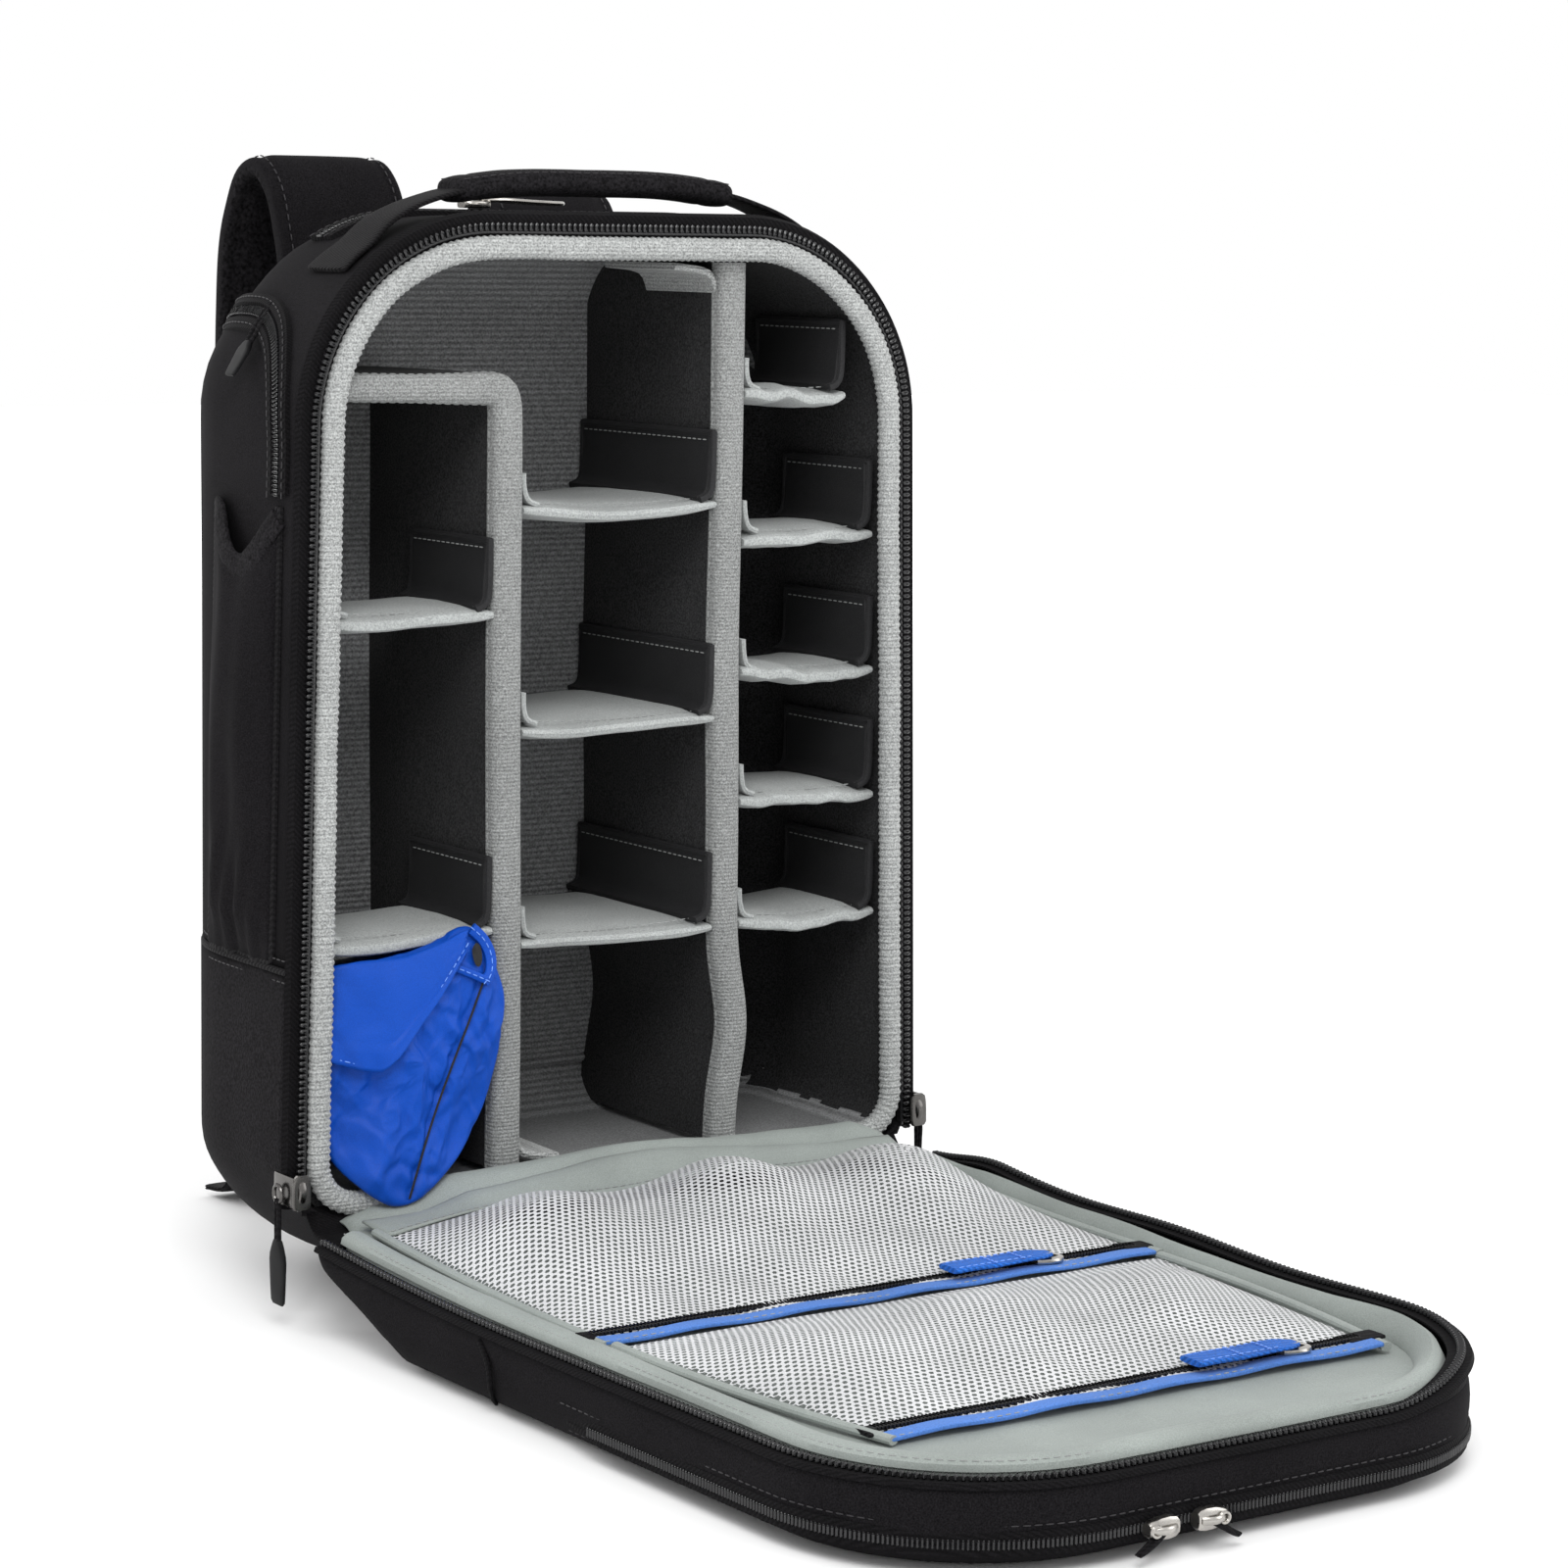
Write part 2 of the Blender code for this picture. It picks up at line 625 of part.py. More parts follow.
def build_dividers():
    tall = (
        ("divider_left", LEFT_DIVIDER, LEFT_DIVIDER_TOP, DIVIDER_CORNER),
        ("divider_right", RIGHT_DIVIDER, RIGHT_DIVIDER_TOP, DIVIDER_BACK_TOP_ROUND),
    )
    for name, (x0, x1), top, back_radius in tall:
        outline = box_outline(
            (DIVIDER_FRONT, DIVIDER_FOOT),
            (DIVIDER_BACK, top),
            (DIVIDER_CORNER, DIVIDER_BACK_LOW_ROUND, back_radius, DIVIDER_CORNER),
        )
        across(name, outline, x0, x1, "light_grey")
    half = SHELF_THICK / 2
    left = -rim_half(TOP_SHELF_Z + half, INNER_OFFSET) + GAP
    block(
        "top_shelf",
        (left, SHELF_FRONT, TOP_SHELF_Z - half),
        (LEFT_DIVIDER[1], SHELF_BACK, TOP_SHELF_Z + half),
        "light_grey",
        bevel=0.002,
    )
    columns = (
        ("shelf_left_", None, LEFT_DIVIDER[0], LEFT_SHELVES, SHELF_BACK),
        ("shelf_middle_", LEFT_DIVIDER[1], RIGHT_DIVIDER[0], MIDDLE_SHELVES, MIDDLE_BACK),
        ("shelf_right_", RIGHT_DIVIDER[1], None, RIGHT_SHELVES, SHELF_BACK),
    )
    for prefix, x0, x1, heights, back in columns:
        for i, z in enumerate(heights, 1):
            wall = rim_half(z + half + FLAP_HIGH, INNER_OFFSET) - GAP
            low = x0 + GAP if x0 is not None else -wall
            high = x1 - GAP if x1 is not None else wall
            bottom, top = z - half, z + half
            outline = [
                (low, bottom),
                (high, bottom),
                (high, top + FLAP_HIGH),
                (high - FLAP_THICK, top + FLAP_HIGH),
                (high - FLAP_THICK, top),
                (low, top),
            ]
            facing(prefix + str(i), [outline], SHELF_FRONT, back, "light_grey")
    block("rain_cover_pouch", *POUCH, "blue_nylon", bevel=0.010)


# ---------------------------------------------------------------- the front panel

def build_panel():
    stations = [(PANEL_WALL_TOP, 0.0), (PANEL_ROUND, 0.0)]
    for i in range(1, BACK_STEPS + 1):
        z = PANEL_ROUND * (1.0 - math.sin(math.pi / 2 * i / BACK_STEPS)) + PANEL_FLOOR
        stations.append((z, round_in(z - PANEL_FLOOR, PANEL_ROUND)))
    rings = []
    for z, inset in stations:
        outline = panel_outline(PANEL_OUT - inset)
        rings.append([(x, PANEL_SHIFT - height, z) for x, height in outline])
    cup("lid_shell", rings, PANEL_WALL, "black_fabric")
    lying("lid_foam", [panel_outline(LID_FOAM_OUT)], *LID_FOAM_Z, "foam")
    lying("lid_liner", [panel_outline(LID_LINER_OUT)], LID_LINER_LOW, LINER_TOP, "grey_lining")
    border = [panel_outline(offset) for offset in LID_BORDER_OUT]
    lying("lid_border", border, LINER_TOP + GAP, LID_BORDER_TOP, "light_grey")
    band = arch(LID_ZIP_OUT[0], LID_ZIP_FOOT) + arch(LID_ZIP_OUT[1], LID_ZIP_FOOT)[::-1]
    lying("lid_zipper", [band], *LID_ZIP_Z, "black_plastic")
    front = arch(FRONT_ZIP_OUT[0], FRONT_ZIP_FOOT) + arch(FRONT_ZIP_OUT[1], FRONT_ZIP_FOOT)[::-1]
    lying("front_zip", [front], *FRONT_ZIP_Z, "black_plastic")
    long, thick, z0, z1 = FRONT_SLIDER
    far = PANEL_SHIFT - RIM_HIGH - FRONT_SLIDER_OUT
    for name, x in zip(("front_slider_a", "front_slider_b"), FRONT_SLIDER_X):
        block(name, (x - long / 2, far - thick, z0), (x + long / 2, far, z1), "metal", bevel=0.001)


def build_mesh_pockets():
    """Two net pockets on the inside of the panel, each with a zipper, a slider and a pull."""
    for word, half, far, near, slider_x in NET_POCKETS:
        low, high = (-half, far, LINER_TOP + GAP), (half, near, POCKET_TOP - GAP)
        block("mesh_pocket_" + word, low, high, "mesh")
        zip_near = far - GAP
        low, high = (-half, zip_near - NET_ZIP_WIDE, LINER_TOP + GAP), (half, zip_near, POCKET_TOP)
        block("mesh_zip_" + word, low, high, "blue_band")
        y = zip_near - NET_ZIP_WIDE / 2
        z = POCKET_TOP + GAP
        long, wide, thick = MESH_SLIDER
        low, high = (slider_x - long / 2, y - wide / 2, z), (slider_x + long / 2, y + wide / 2, z + thick)
        block("mesh_slider_" + word, low, high, "metal", bevel=0.0006)
        z += MESH_PULL_LIFT
        low = (slider_x + MESH_PULL_X[0], y - MESH_PULL_WIDE / 2, z)
        high = (slider_x + MESH_PULL_X[1], y + MESH_PULL_WIDE / 2, z + MESH_PULL_THICK)
        pivot = (slider_x, y, z + MESH_PULL_THICK / 2)
        block("mesh_pull_" + word, low, high, "blue_nylon", pivot=pivot)


build_case()
build_rim()
build_main_sliders()
build_handle()
build_outer_zips()
build_side_pockets()
build_straps()
build_dividers()
build_panel()
build_mesh_pockets()
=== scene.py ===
"""The looks of an open camera backpack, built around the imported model."""
import json
import math

import bmesh
import bpy
import numpy as np
from mathutils import Matrix, Vector, noise

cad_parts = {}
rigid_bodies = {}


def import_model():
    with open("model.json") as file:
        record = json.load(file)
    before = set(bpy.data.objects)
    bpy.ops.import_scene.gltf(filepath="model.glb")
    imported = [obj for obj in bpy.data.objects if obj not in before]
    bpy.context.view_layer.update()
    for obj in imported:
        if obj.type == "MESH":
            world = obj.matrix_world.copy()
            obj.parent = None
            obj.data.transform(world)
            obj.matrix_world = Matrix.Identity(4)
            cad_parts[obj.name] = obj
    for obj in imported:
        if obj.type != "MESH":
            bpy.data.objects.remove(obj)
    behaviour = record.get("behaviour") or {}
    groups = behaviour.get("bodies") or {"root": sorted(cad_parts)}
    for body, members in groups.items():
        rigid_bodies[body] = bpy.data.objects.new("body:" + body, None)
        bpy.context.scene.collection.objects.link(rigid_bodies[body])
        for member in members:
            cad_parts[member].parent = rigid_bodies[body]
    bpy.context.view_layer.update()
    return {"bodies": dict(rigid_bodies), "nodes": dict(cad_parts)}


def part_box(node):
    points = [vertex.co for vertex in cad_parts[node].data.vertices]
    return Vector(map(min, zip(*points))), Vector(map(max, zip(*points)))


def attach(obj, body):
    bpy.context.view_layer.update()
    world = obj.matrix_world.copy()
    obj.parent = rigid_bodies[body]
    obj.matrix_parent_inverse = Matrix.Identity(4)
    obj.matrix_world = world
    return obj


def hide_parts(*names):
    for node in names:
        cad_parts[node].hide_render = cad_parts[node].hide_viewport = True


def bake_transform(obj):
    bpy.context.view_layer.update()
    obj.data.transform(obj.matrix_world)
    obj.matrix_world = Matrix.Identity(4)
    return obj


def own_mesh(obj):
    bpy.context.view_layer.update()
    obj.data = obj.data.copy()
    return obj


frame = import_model()

MM = 0.001
FRONT_AXIS = np.array((0.0, -1.0, 0.0))
UP_AXIS = np.array((0.0, 0.0, 1.0))
SIDES = ((-1, "left"), (1, "right"))

# --- camera
CAMERA_AT = (-0.8672, -1.4299, 0.4192)
CAMERA_YAW = 0.6044
CAMERA_PITCH = 0.1343
CAMERA_ROLL = 0.0139
CAMERA_LENS = 94.99
SENSOR = 36.0

# --- the line of the main zipper, as on the closed bag
RIM_HALF_LOW = 0.1425
RIM_HALF_HIGH = 0.1360
RIM_LOW = 0.0370
RIM_HIGH = 0.4170
RIM_R_LOW = 0.0248
RIM_R_HIGH = 0.0768
RIM_ARC_Z = RIM_HIGH - RIM_R_HIGH
RIM_ARC_X = RIM_HALF_HIGH - RIM_R_HIGH
SIDE_SLOPE = (RIM_HALF_LOW - RIM_HALF_HIGH) / (RIM_ARC_Z - RIM_LOW - RIM_R_LOW)
RIM_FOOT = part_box("rim_zipper_chain")[0][2]

# --- the case
CASE_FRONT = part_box("outer_shell")[0][1]
CASE_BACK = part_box("outer_shell")[1][1]
CASE_OUT = 0.0040
CASE_R_LOW = 0.0600
CASE_ROUND = 0.0680
TOP_ROUND = 0.0500
BASE_ROUND = 0.0450
SEAM_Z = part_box("outer_shell")[0][2]
LINER_IN = -0.0084
LINER_BACK = 0.0510
LINER_BASE_ROUND = 0.0300
LINER_SIDE_ROUND = 0.0400

# --- the front panel
HINGE_Y = -0.0645
HINGE_Z = 0.0353
PANEL_SHIFT = HINGE_Y + HINGE_Z


# ================================================================ camera and studio

def make_camera():
    """A long lens, to the left of the bag and a little above it."""
    ahead = Vector((
        math.sin(CAMERA_YAW) * math.cos(CAMERA_PITCH),
        math.cos(CAMERA_YAW) * math.cos(CAMERA_PITCH),
        -math.sin(CAMERA_PITCH),
    ))
    level = Vector((math.cos(CAMERA_YAW), -math.sin(CAMERA_YAW), 0.0))
    up = level.cross(ahead)
    right = math.cos(CAMERA_ROLL) * level + math.sin(CAMERA_ROLL) * up
    up = right.cross(ahead)
    data = bpy.data.cameras.new("camera")
    data.lens = CAMERA_LENS
    data.sensor_width = SENSOR
    data.clip_start = 0.05
    camera = bpy.data.objects.new("camera", data)
    bpy.context.scene.collection.objects.link(camera)
    camera.matrix_world = Matrix.Translation(CAMERA_AT) @ Matrix((right, up, -ahead)).transposed().to_4x4()
    bpy.context.scene.camera = camera


def area_light(name, place, target, size, power):
    data = bpy.data.lights.new(name, "AREA")
    data.energy = power
    data.shape = "RECTANGLE"
    data.size, data.size_y = size
    light = bpy.data.objects.new(name, data)
    bpy.context.scene.collection.objects.link(light)
    light.location = place
    light.rotation_euler = (Vector(target) - Vector(place)).to_track_quat("-Z", "Y").to_euler()


def make_studio():
    """A pale floor that glows brighter away from the middle (painted light), a white surround and large soft lights."""
    world = bpy.data.worlds.new("studio")
    bpy.context.scene.world = world
    world.use_nodes = True
    bpy.context.scene.view_settings.view_transform = "Standard"
    background = world.node_tree.nodes["Background"]
    background.inputs["Color"].default_value = (1.0, 1.0, 1.0, 1.0)
    background.inputs["Strength"].default_value = 1.0
    area_light("key", (-0.9, -1.6, 1.9), (0.0, -0.15, 0.1), (1.2, 1.2), 30.0)
    area_light("fill", (1.6, -1.4, 1.1), (0.0, -0.1, 0.2), (1.4, 1.2), 12.0)
    area_light("back", (-1.2, 1.5, 1.4), (0.0, 0.0, 0.25), (1.2, 1.2), 14.0)
    bpy.ops.mesh.primitive_plane_add(size=14.0, location=(0.0, 0.0, -0.0004))
    floor = bpy.context.object
    floor.name = "floor"
    paint = bpy.data.materials.new("floor")
    paint.use_nodes = True
    tree = paint.node_tree
    shader = tree.nodes["Principled BSDF"]
    shader.inputs["Base Color"].default_value = (0.93, 0.93, 0.93, 1.0)
    shader.inputs["Roughness"].default_value = 0.9
    # Painted light: the floor glows white, more the farther it is from the middle, fading it into the white surround
    # though it is no lamp.
    shader.inputs["Emission Color"].default_value = (1.0, 1.0, 1.0, 1.0)
    distance = tree.nodes.new("ShaderNodeVectorMath")
    distance.operation = "LENGTH"
    tree.links.new(tree.nodes.new("ShaderNodeTexCoord").outputs["Object"], distance.inputs[0])
    painted_floor_glow = tree.nodes.new("ShaderNodeMapRange")
    painted_floor_glow.inputs["From Min"].default_value = 0.8
    painted_floor_glow.inputs["From Max"].default_value = 3.0
    tree.links.new(distance.outputs["Value"], painted_floor_glow.inputs["Value"])
    tree.links.new(painted_floor_glow.outputs["Result"], shader.inputs["Emission Strength"])
    floor.data.materials.append(paint)


# ================================================================ materials

class Nodes:
    """A small builder for a material's nodes."""

    def __init__(self, name):
        self.material = bpy.data.materials.new(name)
        self.material.use_nodes = True
        self.tree = self.material.node_tree
        self.shader = self.tree.nodes["Principled BSDF"]
        self.coords = self.tree.nodes.new("ShaderNodeTexCoord").outputs["Object"]

    def join(self, out, socket):
        self.tree.links.new(out, socket)

    def noise(self, scale, detail=3.0, stretch=None):
        node = self.tree.nodes.new("ShaderNodeTexNoise")
        node.inputs["Scale"].default_value = scale
        node.inputs["Detail"].default_value = detail
        source = self.coords
        if stretch:
            mapping = self.tree.nodes.new("ShaderNodeMapping")
            mapping.inputs["Scale"].default_value = stretch
            self.join(source, mapping.inputs["Vector"])
            source = mapping.outputs["Vector"]
        self.join(source, node.inputs["Vector"])
        return node.outputs["Fac"]

    def wave(self, pitch, direction, distortion=0.6, turn=0.0):
        """Ribs across a direction (X, Y, Z or DIAGONAL), a pitch apart."""
        node = self.tree.nodes.new("ShaderNodeTexWave")
        node.wave_type = "BANDS"
        node.bands_direction = direction
        node.inputs["Scale"].default_value = 0.314159 / pitch
        node.inputs["Distortion"].default_value = distortion
        node.inputs["Detail"].default_value = 1.0
        node.inputs["Detail Scale"].default_value = 3.0
        source = self.coords
        if turn:
            mapping = self.tree.nodes.new("ShaderNodeMapping")
            mapping.inputs["Rotation"].default_value = (0.0, turn, turn)
            self.join(source, mapping.inputs["Vector"])
            source = mapping.outputs["Vector"]
        self.join(source, node.inputs["Vector"])
        return node.outputs["Fac"]

    def math(self, kind, a, b):
        node = self.tree.nodes.new("ShaderNodeMath")
        node.operation = kind
        for socket, value in zip(node.inputs, (a, b)):
            if isinstance(value, (int, float)):
                socket.default_value = value
            else:
                self.join(value, socket)
        return node.outputs["Value"]

    def ramp(self, factor, stops):
        node = self.tree.nodes.new("ShaderNodeValToRGB")
        first, last = node.color_ramp.elements
        first.position, first.color = stops[0][0], (*stops[0][1], 1.0)
        last.position, last.color = stops[-1][0], (*stops[-1][1], 1.0)
        for place, colour in stops[1:-1]:
            node.color_ramp.elements.new(place).color = (*colour, 1.0)
        self.join(factor, node.inputs["Fac"])
        return node.outputs["Color"]

    def mix(self, factor, a, b, kind="MIX"):
        node = self.tree.nodes.new("ShaderNodeMix")
        node.data_type = "RGBA"
        node.blend_type = kind
        if isinstance(factor, float):
            node.inputs["Factor"].default_value = factor
        else:
            self.join(factor, node.inputs["Factor"])
        self.join(a, node.inputs["A"])
        self.join(b, node.inputs["B"])
        return node.outputs["Result"]

    def bump(self, height, depth, strength=1.0):
        node = self.tree.nodes.new("ShaderNodeBump")
        node.inputs["Strength"].default_value = strength
        node.inputs["Distance"].default_value = depth
        self.join(height, node.inputs["Height"])
        self.join(node.outputs["Normal"], self.shader.inputs["Normal"])

    def colour(self, out):
        self.join(out, self.shader.inputs["Base Color"])

    def rough(self, low, high, factor):
        node = self.tree.nodes.new("ShaderNodeMapRange")
        node.inputs["To Min"].default_value = low
        node.inputs["To Max"].default_value = high
        self.join(factor, node.inputs["Value"])
        self.join(node.outputs["Result"], self.shader.inputs["Roughness"])

    def set(self, **values):
        for name, value in values.items():
            self.shader.inputs[name.replace("_", " ")].default_value = value


def shade(colour, factor):
    return tuple(c * factor for c in colour)


def fabric(name, colour, thread=0.7, depth=0.12, contrast=0.35, rough=(0.7, 0.95), sheen=0.2, ribs=None, rib_depth=0.35,
           rib_contrast=0.25, patch=0.12, gloss=0.3):
    """A woven or knitted cloth: threads of a size in mm, and ribs given as (pitch in mm, direction)."""
    n = Nodes(name)
    fine = n.noise(1.0 / (thread * MM), 2.0)
    broad = n.noise(22.0, 4.0)
    stops = [(0.30, shade(colour, 1.0 - contrast)), (0.52, colour), (0.75, shade(colour, 1.0 + contrast))]
    weave = n.ramp(fine, stops)
    tone = n.ramp(broad, [(0.3, (1.0 - patch,) * 3), (0.7, (1.0 + patch,) * 3)])
    out = n.mix(1.0, weave, tone, "MULTIPLY")
    height = n.math("MULTIPLY", fine, depth * MM)
    if ribs:
        line = n.wave(ribs[0] * MM, ribs[1], 0.5, ribs[2] if len(ribs) > 2 else 0.0)
        out = n.mix(1.0, out, n.ramp(line, [(0.1, (1.0 - rib_contrast,) * 3), (0.8, (1.0,) * 3)]), "MULTIPLY")
        height = n.math("ADD", height, n.math("MULTIPLY", line, rib_depth * MM))
    n.colour(out)
    n.rough(rough[0], rough[1], fine)
    n.bump(height, 1.0, 0.9)
    n.set(Sheen_Weight=sheen, Sheen_Roughness=0.5, Specular_IOR_Level=gloss)
    return n.material


def plastic(name, colour, rough=0.4, grain=0.5, gloss=0.5):
    n = Nodes(name)
    fine = n.noise(1.0 / (grain * MM), 2.0)
    n.colour(n.ramp(n.noise(90.0, 3.0), [(0.3, shade(colour, 0.8)), (0.7, shade(colour, 1.25))]))
    n.rough(rough * 0.8, rough * 1.25, n.noise(60.0, 3.0))
    n.bump(fine, 0.03 * MM, 0.6)
    n.set(Specular_IOR_Level=gloss)
    return n.material


def metal(name, colour, rough=0.25):
    n = Nodes(name)
    n.colour(n.ramp(n.noise(160.0, 4.0), [(0.3, shade(colour, 0.75)), (0.7, colour)]))
    n.rough(rough * 0.7, rough * 1.6, n.noise(120.0, 4.0))
    n.bump(n.noise(900.0, 2.0), 0.02 * MM, 0.5)
    n.set(Metallic=1.0)
    return n.material


BLACK = (0.0092, 0.0086, 0.0096)
LOOK = {}


def make_materials():
    LOOK.update(
        nylon=fabric("black_nylon", BLACK, 0.55, 0.10, 0.60, (0.62, 0.88), 0.01, gloss=0.02),
        boot=fabric("coarse_nylon", shade(BLACK, 1.15), 1.1, 0.30, 0.75, (0.6, 0.85), 0.01, gloss=0.03),
        webbing=fabric("black_webbing", shade(BLACK, 1.0), 0.6, 0.15, 0.6, (0.55, 0.8), 0.01, (1.3, "DIAGONAL"),
                       0.25, 0.45,
                       gloss=0.06),
        tape=fabric("zipper_tape", shade(BLACK, 0.8), 0.5, 0.12, 0.6, (0.6, 0.85), 0.01, (1.1, "DIAGONAL"), 0.12, 0.4,
                    gloss=0.04),
        edge=fabric("light_grey_edge", (0.36, 0.37, 0.365), 0.7, 0.32, 0.50, (0.85, 0.98), 0.15, (1.5, "Z"), 0.22, 0.18,
                    0.06, 0.15),
        knit=fabric("light_grey_knit", (0.255, 0.262, 0.258), 0.7, 0.32, 0.50, (0.85, 0.98), 0.15, (1.5, "Z"),
                    0.22, 0.18,
                    0.06, 0.15),
        shelf=fabric("light_grey_brushed", (0.340, 0.355, 0.350), 0.7, 0.20, 0.28, (0.85, 0.98), 0.15, None, 0, 0,
                     0.10, 0.15),
        loop=fabric("dark_grey_loop", (0.026, 0.026, 0.027), 0.8, 0.28, 0.70, (0.85, 0.98), 0.05, gloss=0.04),
        back=fabric("mid_grey_loop", (0.245, 0.250, 0.253), 0.8, 0.25, 0.45, (0.85, 0.98), 0.15, (2.4, "Z"), 0.40, 0.36,
                    gloss=0.15),
        flap=fabric("dark_nylon_flap", (0.018, 0.018, 0.019), 0.5, 0.08, 0.4, (0.45, 0.7), 0.02, gloss=0.15),
        panel=fabric("grey_green_nylon", (0.255, 0.282, 0.266), 0.5, 0.08, 0.16, (0.6, 0.85), 0.10),
        net=fabric("grey_net", (0.56, 0.565, 0.575), 0.5, 0.05, 0.2, (0.7, 0.9), 0.1),
        airmesh=fabric("dark_air_mesh", shade(BLACK, 0.9), 1.6, 0.5, 0.8, (0.8, 0.95), 0.01, gloss=0.03),
        blue=fabric("blue_nylon", (0.003, 0.060, 0.40), 0.45, 0.05, 0.14, (0.38, 0.6), 0.0, None, 0, 0, 0.10, 0.16),
        pull=fabric("blue_webbing", (0.008, 0.125, 0.55), 0.6, 0.25, 0.34, (0.6, 0.85), 0.05, (1.4, "DIAGONAL"),
                    0.3, 0.35),
        band=fabric("light_blue_band", (0.060, 0.170, 0.50), 0.6, 0.15, 0.24, (0.65, 0.9), 0.08),
        thread=fabric("grey_thread", (0.27, 0.28, 0.275), 0.3, 0.05, 0.2, (0.6, 0.8), 0.1),
        dark_thread=fabric("black_thread", shade(BLACK, 2.2), 0.3, 0.05, 0.2, (0.5, 0.7), 0.05, gloss=0.3),
        blue_thread=fabric("blue_thread", (0.14, 0.30, 0.80), 0.3, 0.05, 0.2, (0.5, 0.7), 0.2),
        coil=plastic("black_coil", (0.012, 0.012, 0.013), 0.22, 0.6, 0.5),
        moulded=plastic("black_moulded", (0.006, 0.006, 0.0065), 0.50, 0.5, 0.12),
        nickel=metal("nickel", (0.50, 0.48, 0.45), 0.24),
        steel=metal("dark_nickel", (0.13, 0.125, 0.12), 0.22),
        foam=fabric("foam", (0.12, 0.12, 0.125), 1.2, 0.2, 0.3),
        board=plastic("board", (0.55, 0.55, 0.53), 0.5, 0.8),
    )


# ================================================================ mesh helpers

def piece(name, verts, faces, look, body=None, smooth=True, sharp=math.radians(40)):
    """A mesh object from points and faces, in the row frame, with a material and a body to ride on."""
    mesh = bpy.data.meshes.new(name)
    mesh.from_pydata([tuple(map(float, v)) for v in verts], [], [tuple(map(int, f)) for f in faces])
    bm = bmesh.new()
    bm.from_mesh(mesh)
    bmesh.ops.recalc_face_normals(bm, faces=bm.faces)
    bm.to_mesh(mesh)
    bm.free()
    mesh.materials.append(LOOK[look])
    if smooth:
        mesh.shade_smooth()
        mesh.set_sharp_from_angle(angle=sharp)
    thing = bpy.data.objects.new(name, mesh)
    bpy.context.scene.collection.objects.link(thing)
    if body:
        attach(thing, body)
    return thing


def slotted(name, verts, faces, look, body=None):
    """A piece that stands in its look's own material slot."""
    thing = piece(name, verts, faces, look, body)
    return thing


def add_modifier(thing, kind, **values):
    step = thing.modifiers.new(kind.lower(), kind)
    for key, value in values.items():
        setattr(step, key, value)
    return step


def subsurf(thing, level=1):
    add_modifier(thing, "SUBSURF", levels=level, render_levels=level)
    return thing


def strip_faces(rows, columns, closed_rows=False, closed_columns=False, start=0):
    """Quads between the points of a grid, row by row."""
    faces = []
    for i in range(rows if closed_rows else rows - 1):
        for j in range(columns if closed_columns else columns - 1):
            a, b = i, (i + 1) % rows
            c, d = j, (j + 1) % columns
            faces.append((start + a * columns + c, start + a * columns + d,
                          start + b * columns + d, start + b * columns + c))
    return faces


def loft(rings, closed_path=False, caps=True):
    """Points and faces of a surface through closed rings; its ends are capped unless the path is closed."""
    rows, columns = len(rings), len(rings[0])
    verts = np.concatenate([np.asarray(r, float) for r in rings])
    faces = strip_faces(rows, columns, closed_path, True)
    if caps and not closed_path:
        faces.append(tuple(range(columns))[::-1])
        faces.append(tuple(range((rows - 1) * columns, rows * columns)))
    return verts, faces


def sweep(path, side, lift, profile, closed=False):
    """A profile of (u, v) points carried along a path, u along the side axis and v along the lift axis."""
    rings = [
        [p + u * s + v * l for u, v in profile]
        for p, s, l in zip(np.asarray(path), np.asarray(side), np.asarray(lift))
    ]
    return loft(rings, closed)


def facing(axes, away):
    """Axes turned, each one, to the side that the away vectors point to."""
    return axes * np.sign(np.einsum("ij,ij->i", axes, away))[:, None]


def swept(path, normal, profile, closed=False):
    """A profile carried along a path whose lift axis leans towards a direction."""
    _, side, lift = frames_along(path, normal, closed)
    return sweep(path, side, lift, profile, closed)


def merged(parts):
    """Several (verts, faces) as one."""
    verts, faces, start = [], [], 0
    for v, f in parts:
        verts.append(np.asarray(v, float))
        faces += [tuple(i + start for i in face) for face in f]
        start += len(v)
    return np.concatenate(verts), faces


def copies(template, places, *axes):
    """Copies of a template at places; axes are the three directions of its x, y and z at each place."""
    v, f = np.asarray(template[0], float), template[1]
    out = [p + v @ np.array(rows, float) for p, *rows in zip(places, *axes)]
    faces = [tuple(i + k * len(v) for i in face) for k in range(len(out)) for face in f]
    return np.concatenate(out), faces


def round_bar(radius, length, sides=6):
    """A thread or bar along x with rounded ends."""
    rings = []
    for x, r in ((-0.5, 0.35), (-0.4, 0.85), (0.0, 1.0), (0.4, 0.85), (0.5, 0.35)):
        angles = [2 * math.pi * k / sides for k in range(sides)]
        rings.append([(x * length, radius * r * math.cos(a), radius * r * math.sin(a)) for a in angles])
    return loft(rings)


def soft_box(size, corner=0.3):
    """A box with cut corners, centred, of a size along x, y and z."""
    a, b, c = (s / 2 for s in size)
    k = corner * min(a, b, c)
    rings = []
    for z, cut in ((-c, k), (-c + k, 0.0), (c - k, 0.0), (c, k)):
        w, h = a - cut, b - cut
        rings.append([(w - k, -h, z), (w, -h + k, z), (w, h - k, z), (w - k, h, z),
                      (-w + k, h, z), (-w, h - k, z), (-w, -h + k, z), (-w + k, -h, z)])
    return loft(rings)


def ellipse(a, b, steps=12, power=1.0):
    """A closed profile, squarer as power falls below 1."""
    points = []
    for i in range(steps):
        t = 2 * math.pi * i / steps
        c, s = math.cos(t), math.sin(t)
        points.append((a * math.copysign(abs(c) ** power, c), b * math.copysign(abs(s) ** power, s)))
    return points


def arc(centre, radius, start, end, steps):
    angles = np.radians(np.linspace(start, end, steps + 1))
    return [(centre[0] + radius * math.cos(a), centre[1] + radius * math.sin(a)) for a in angles]


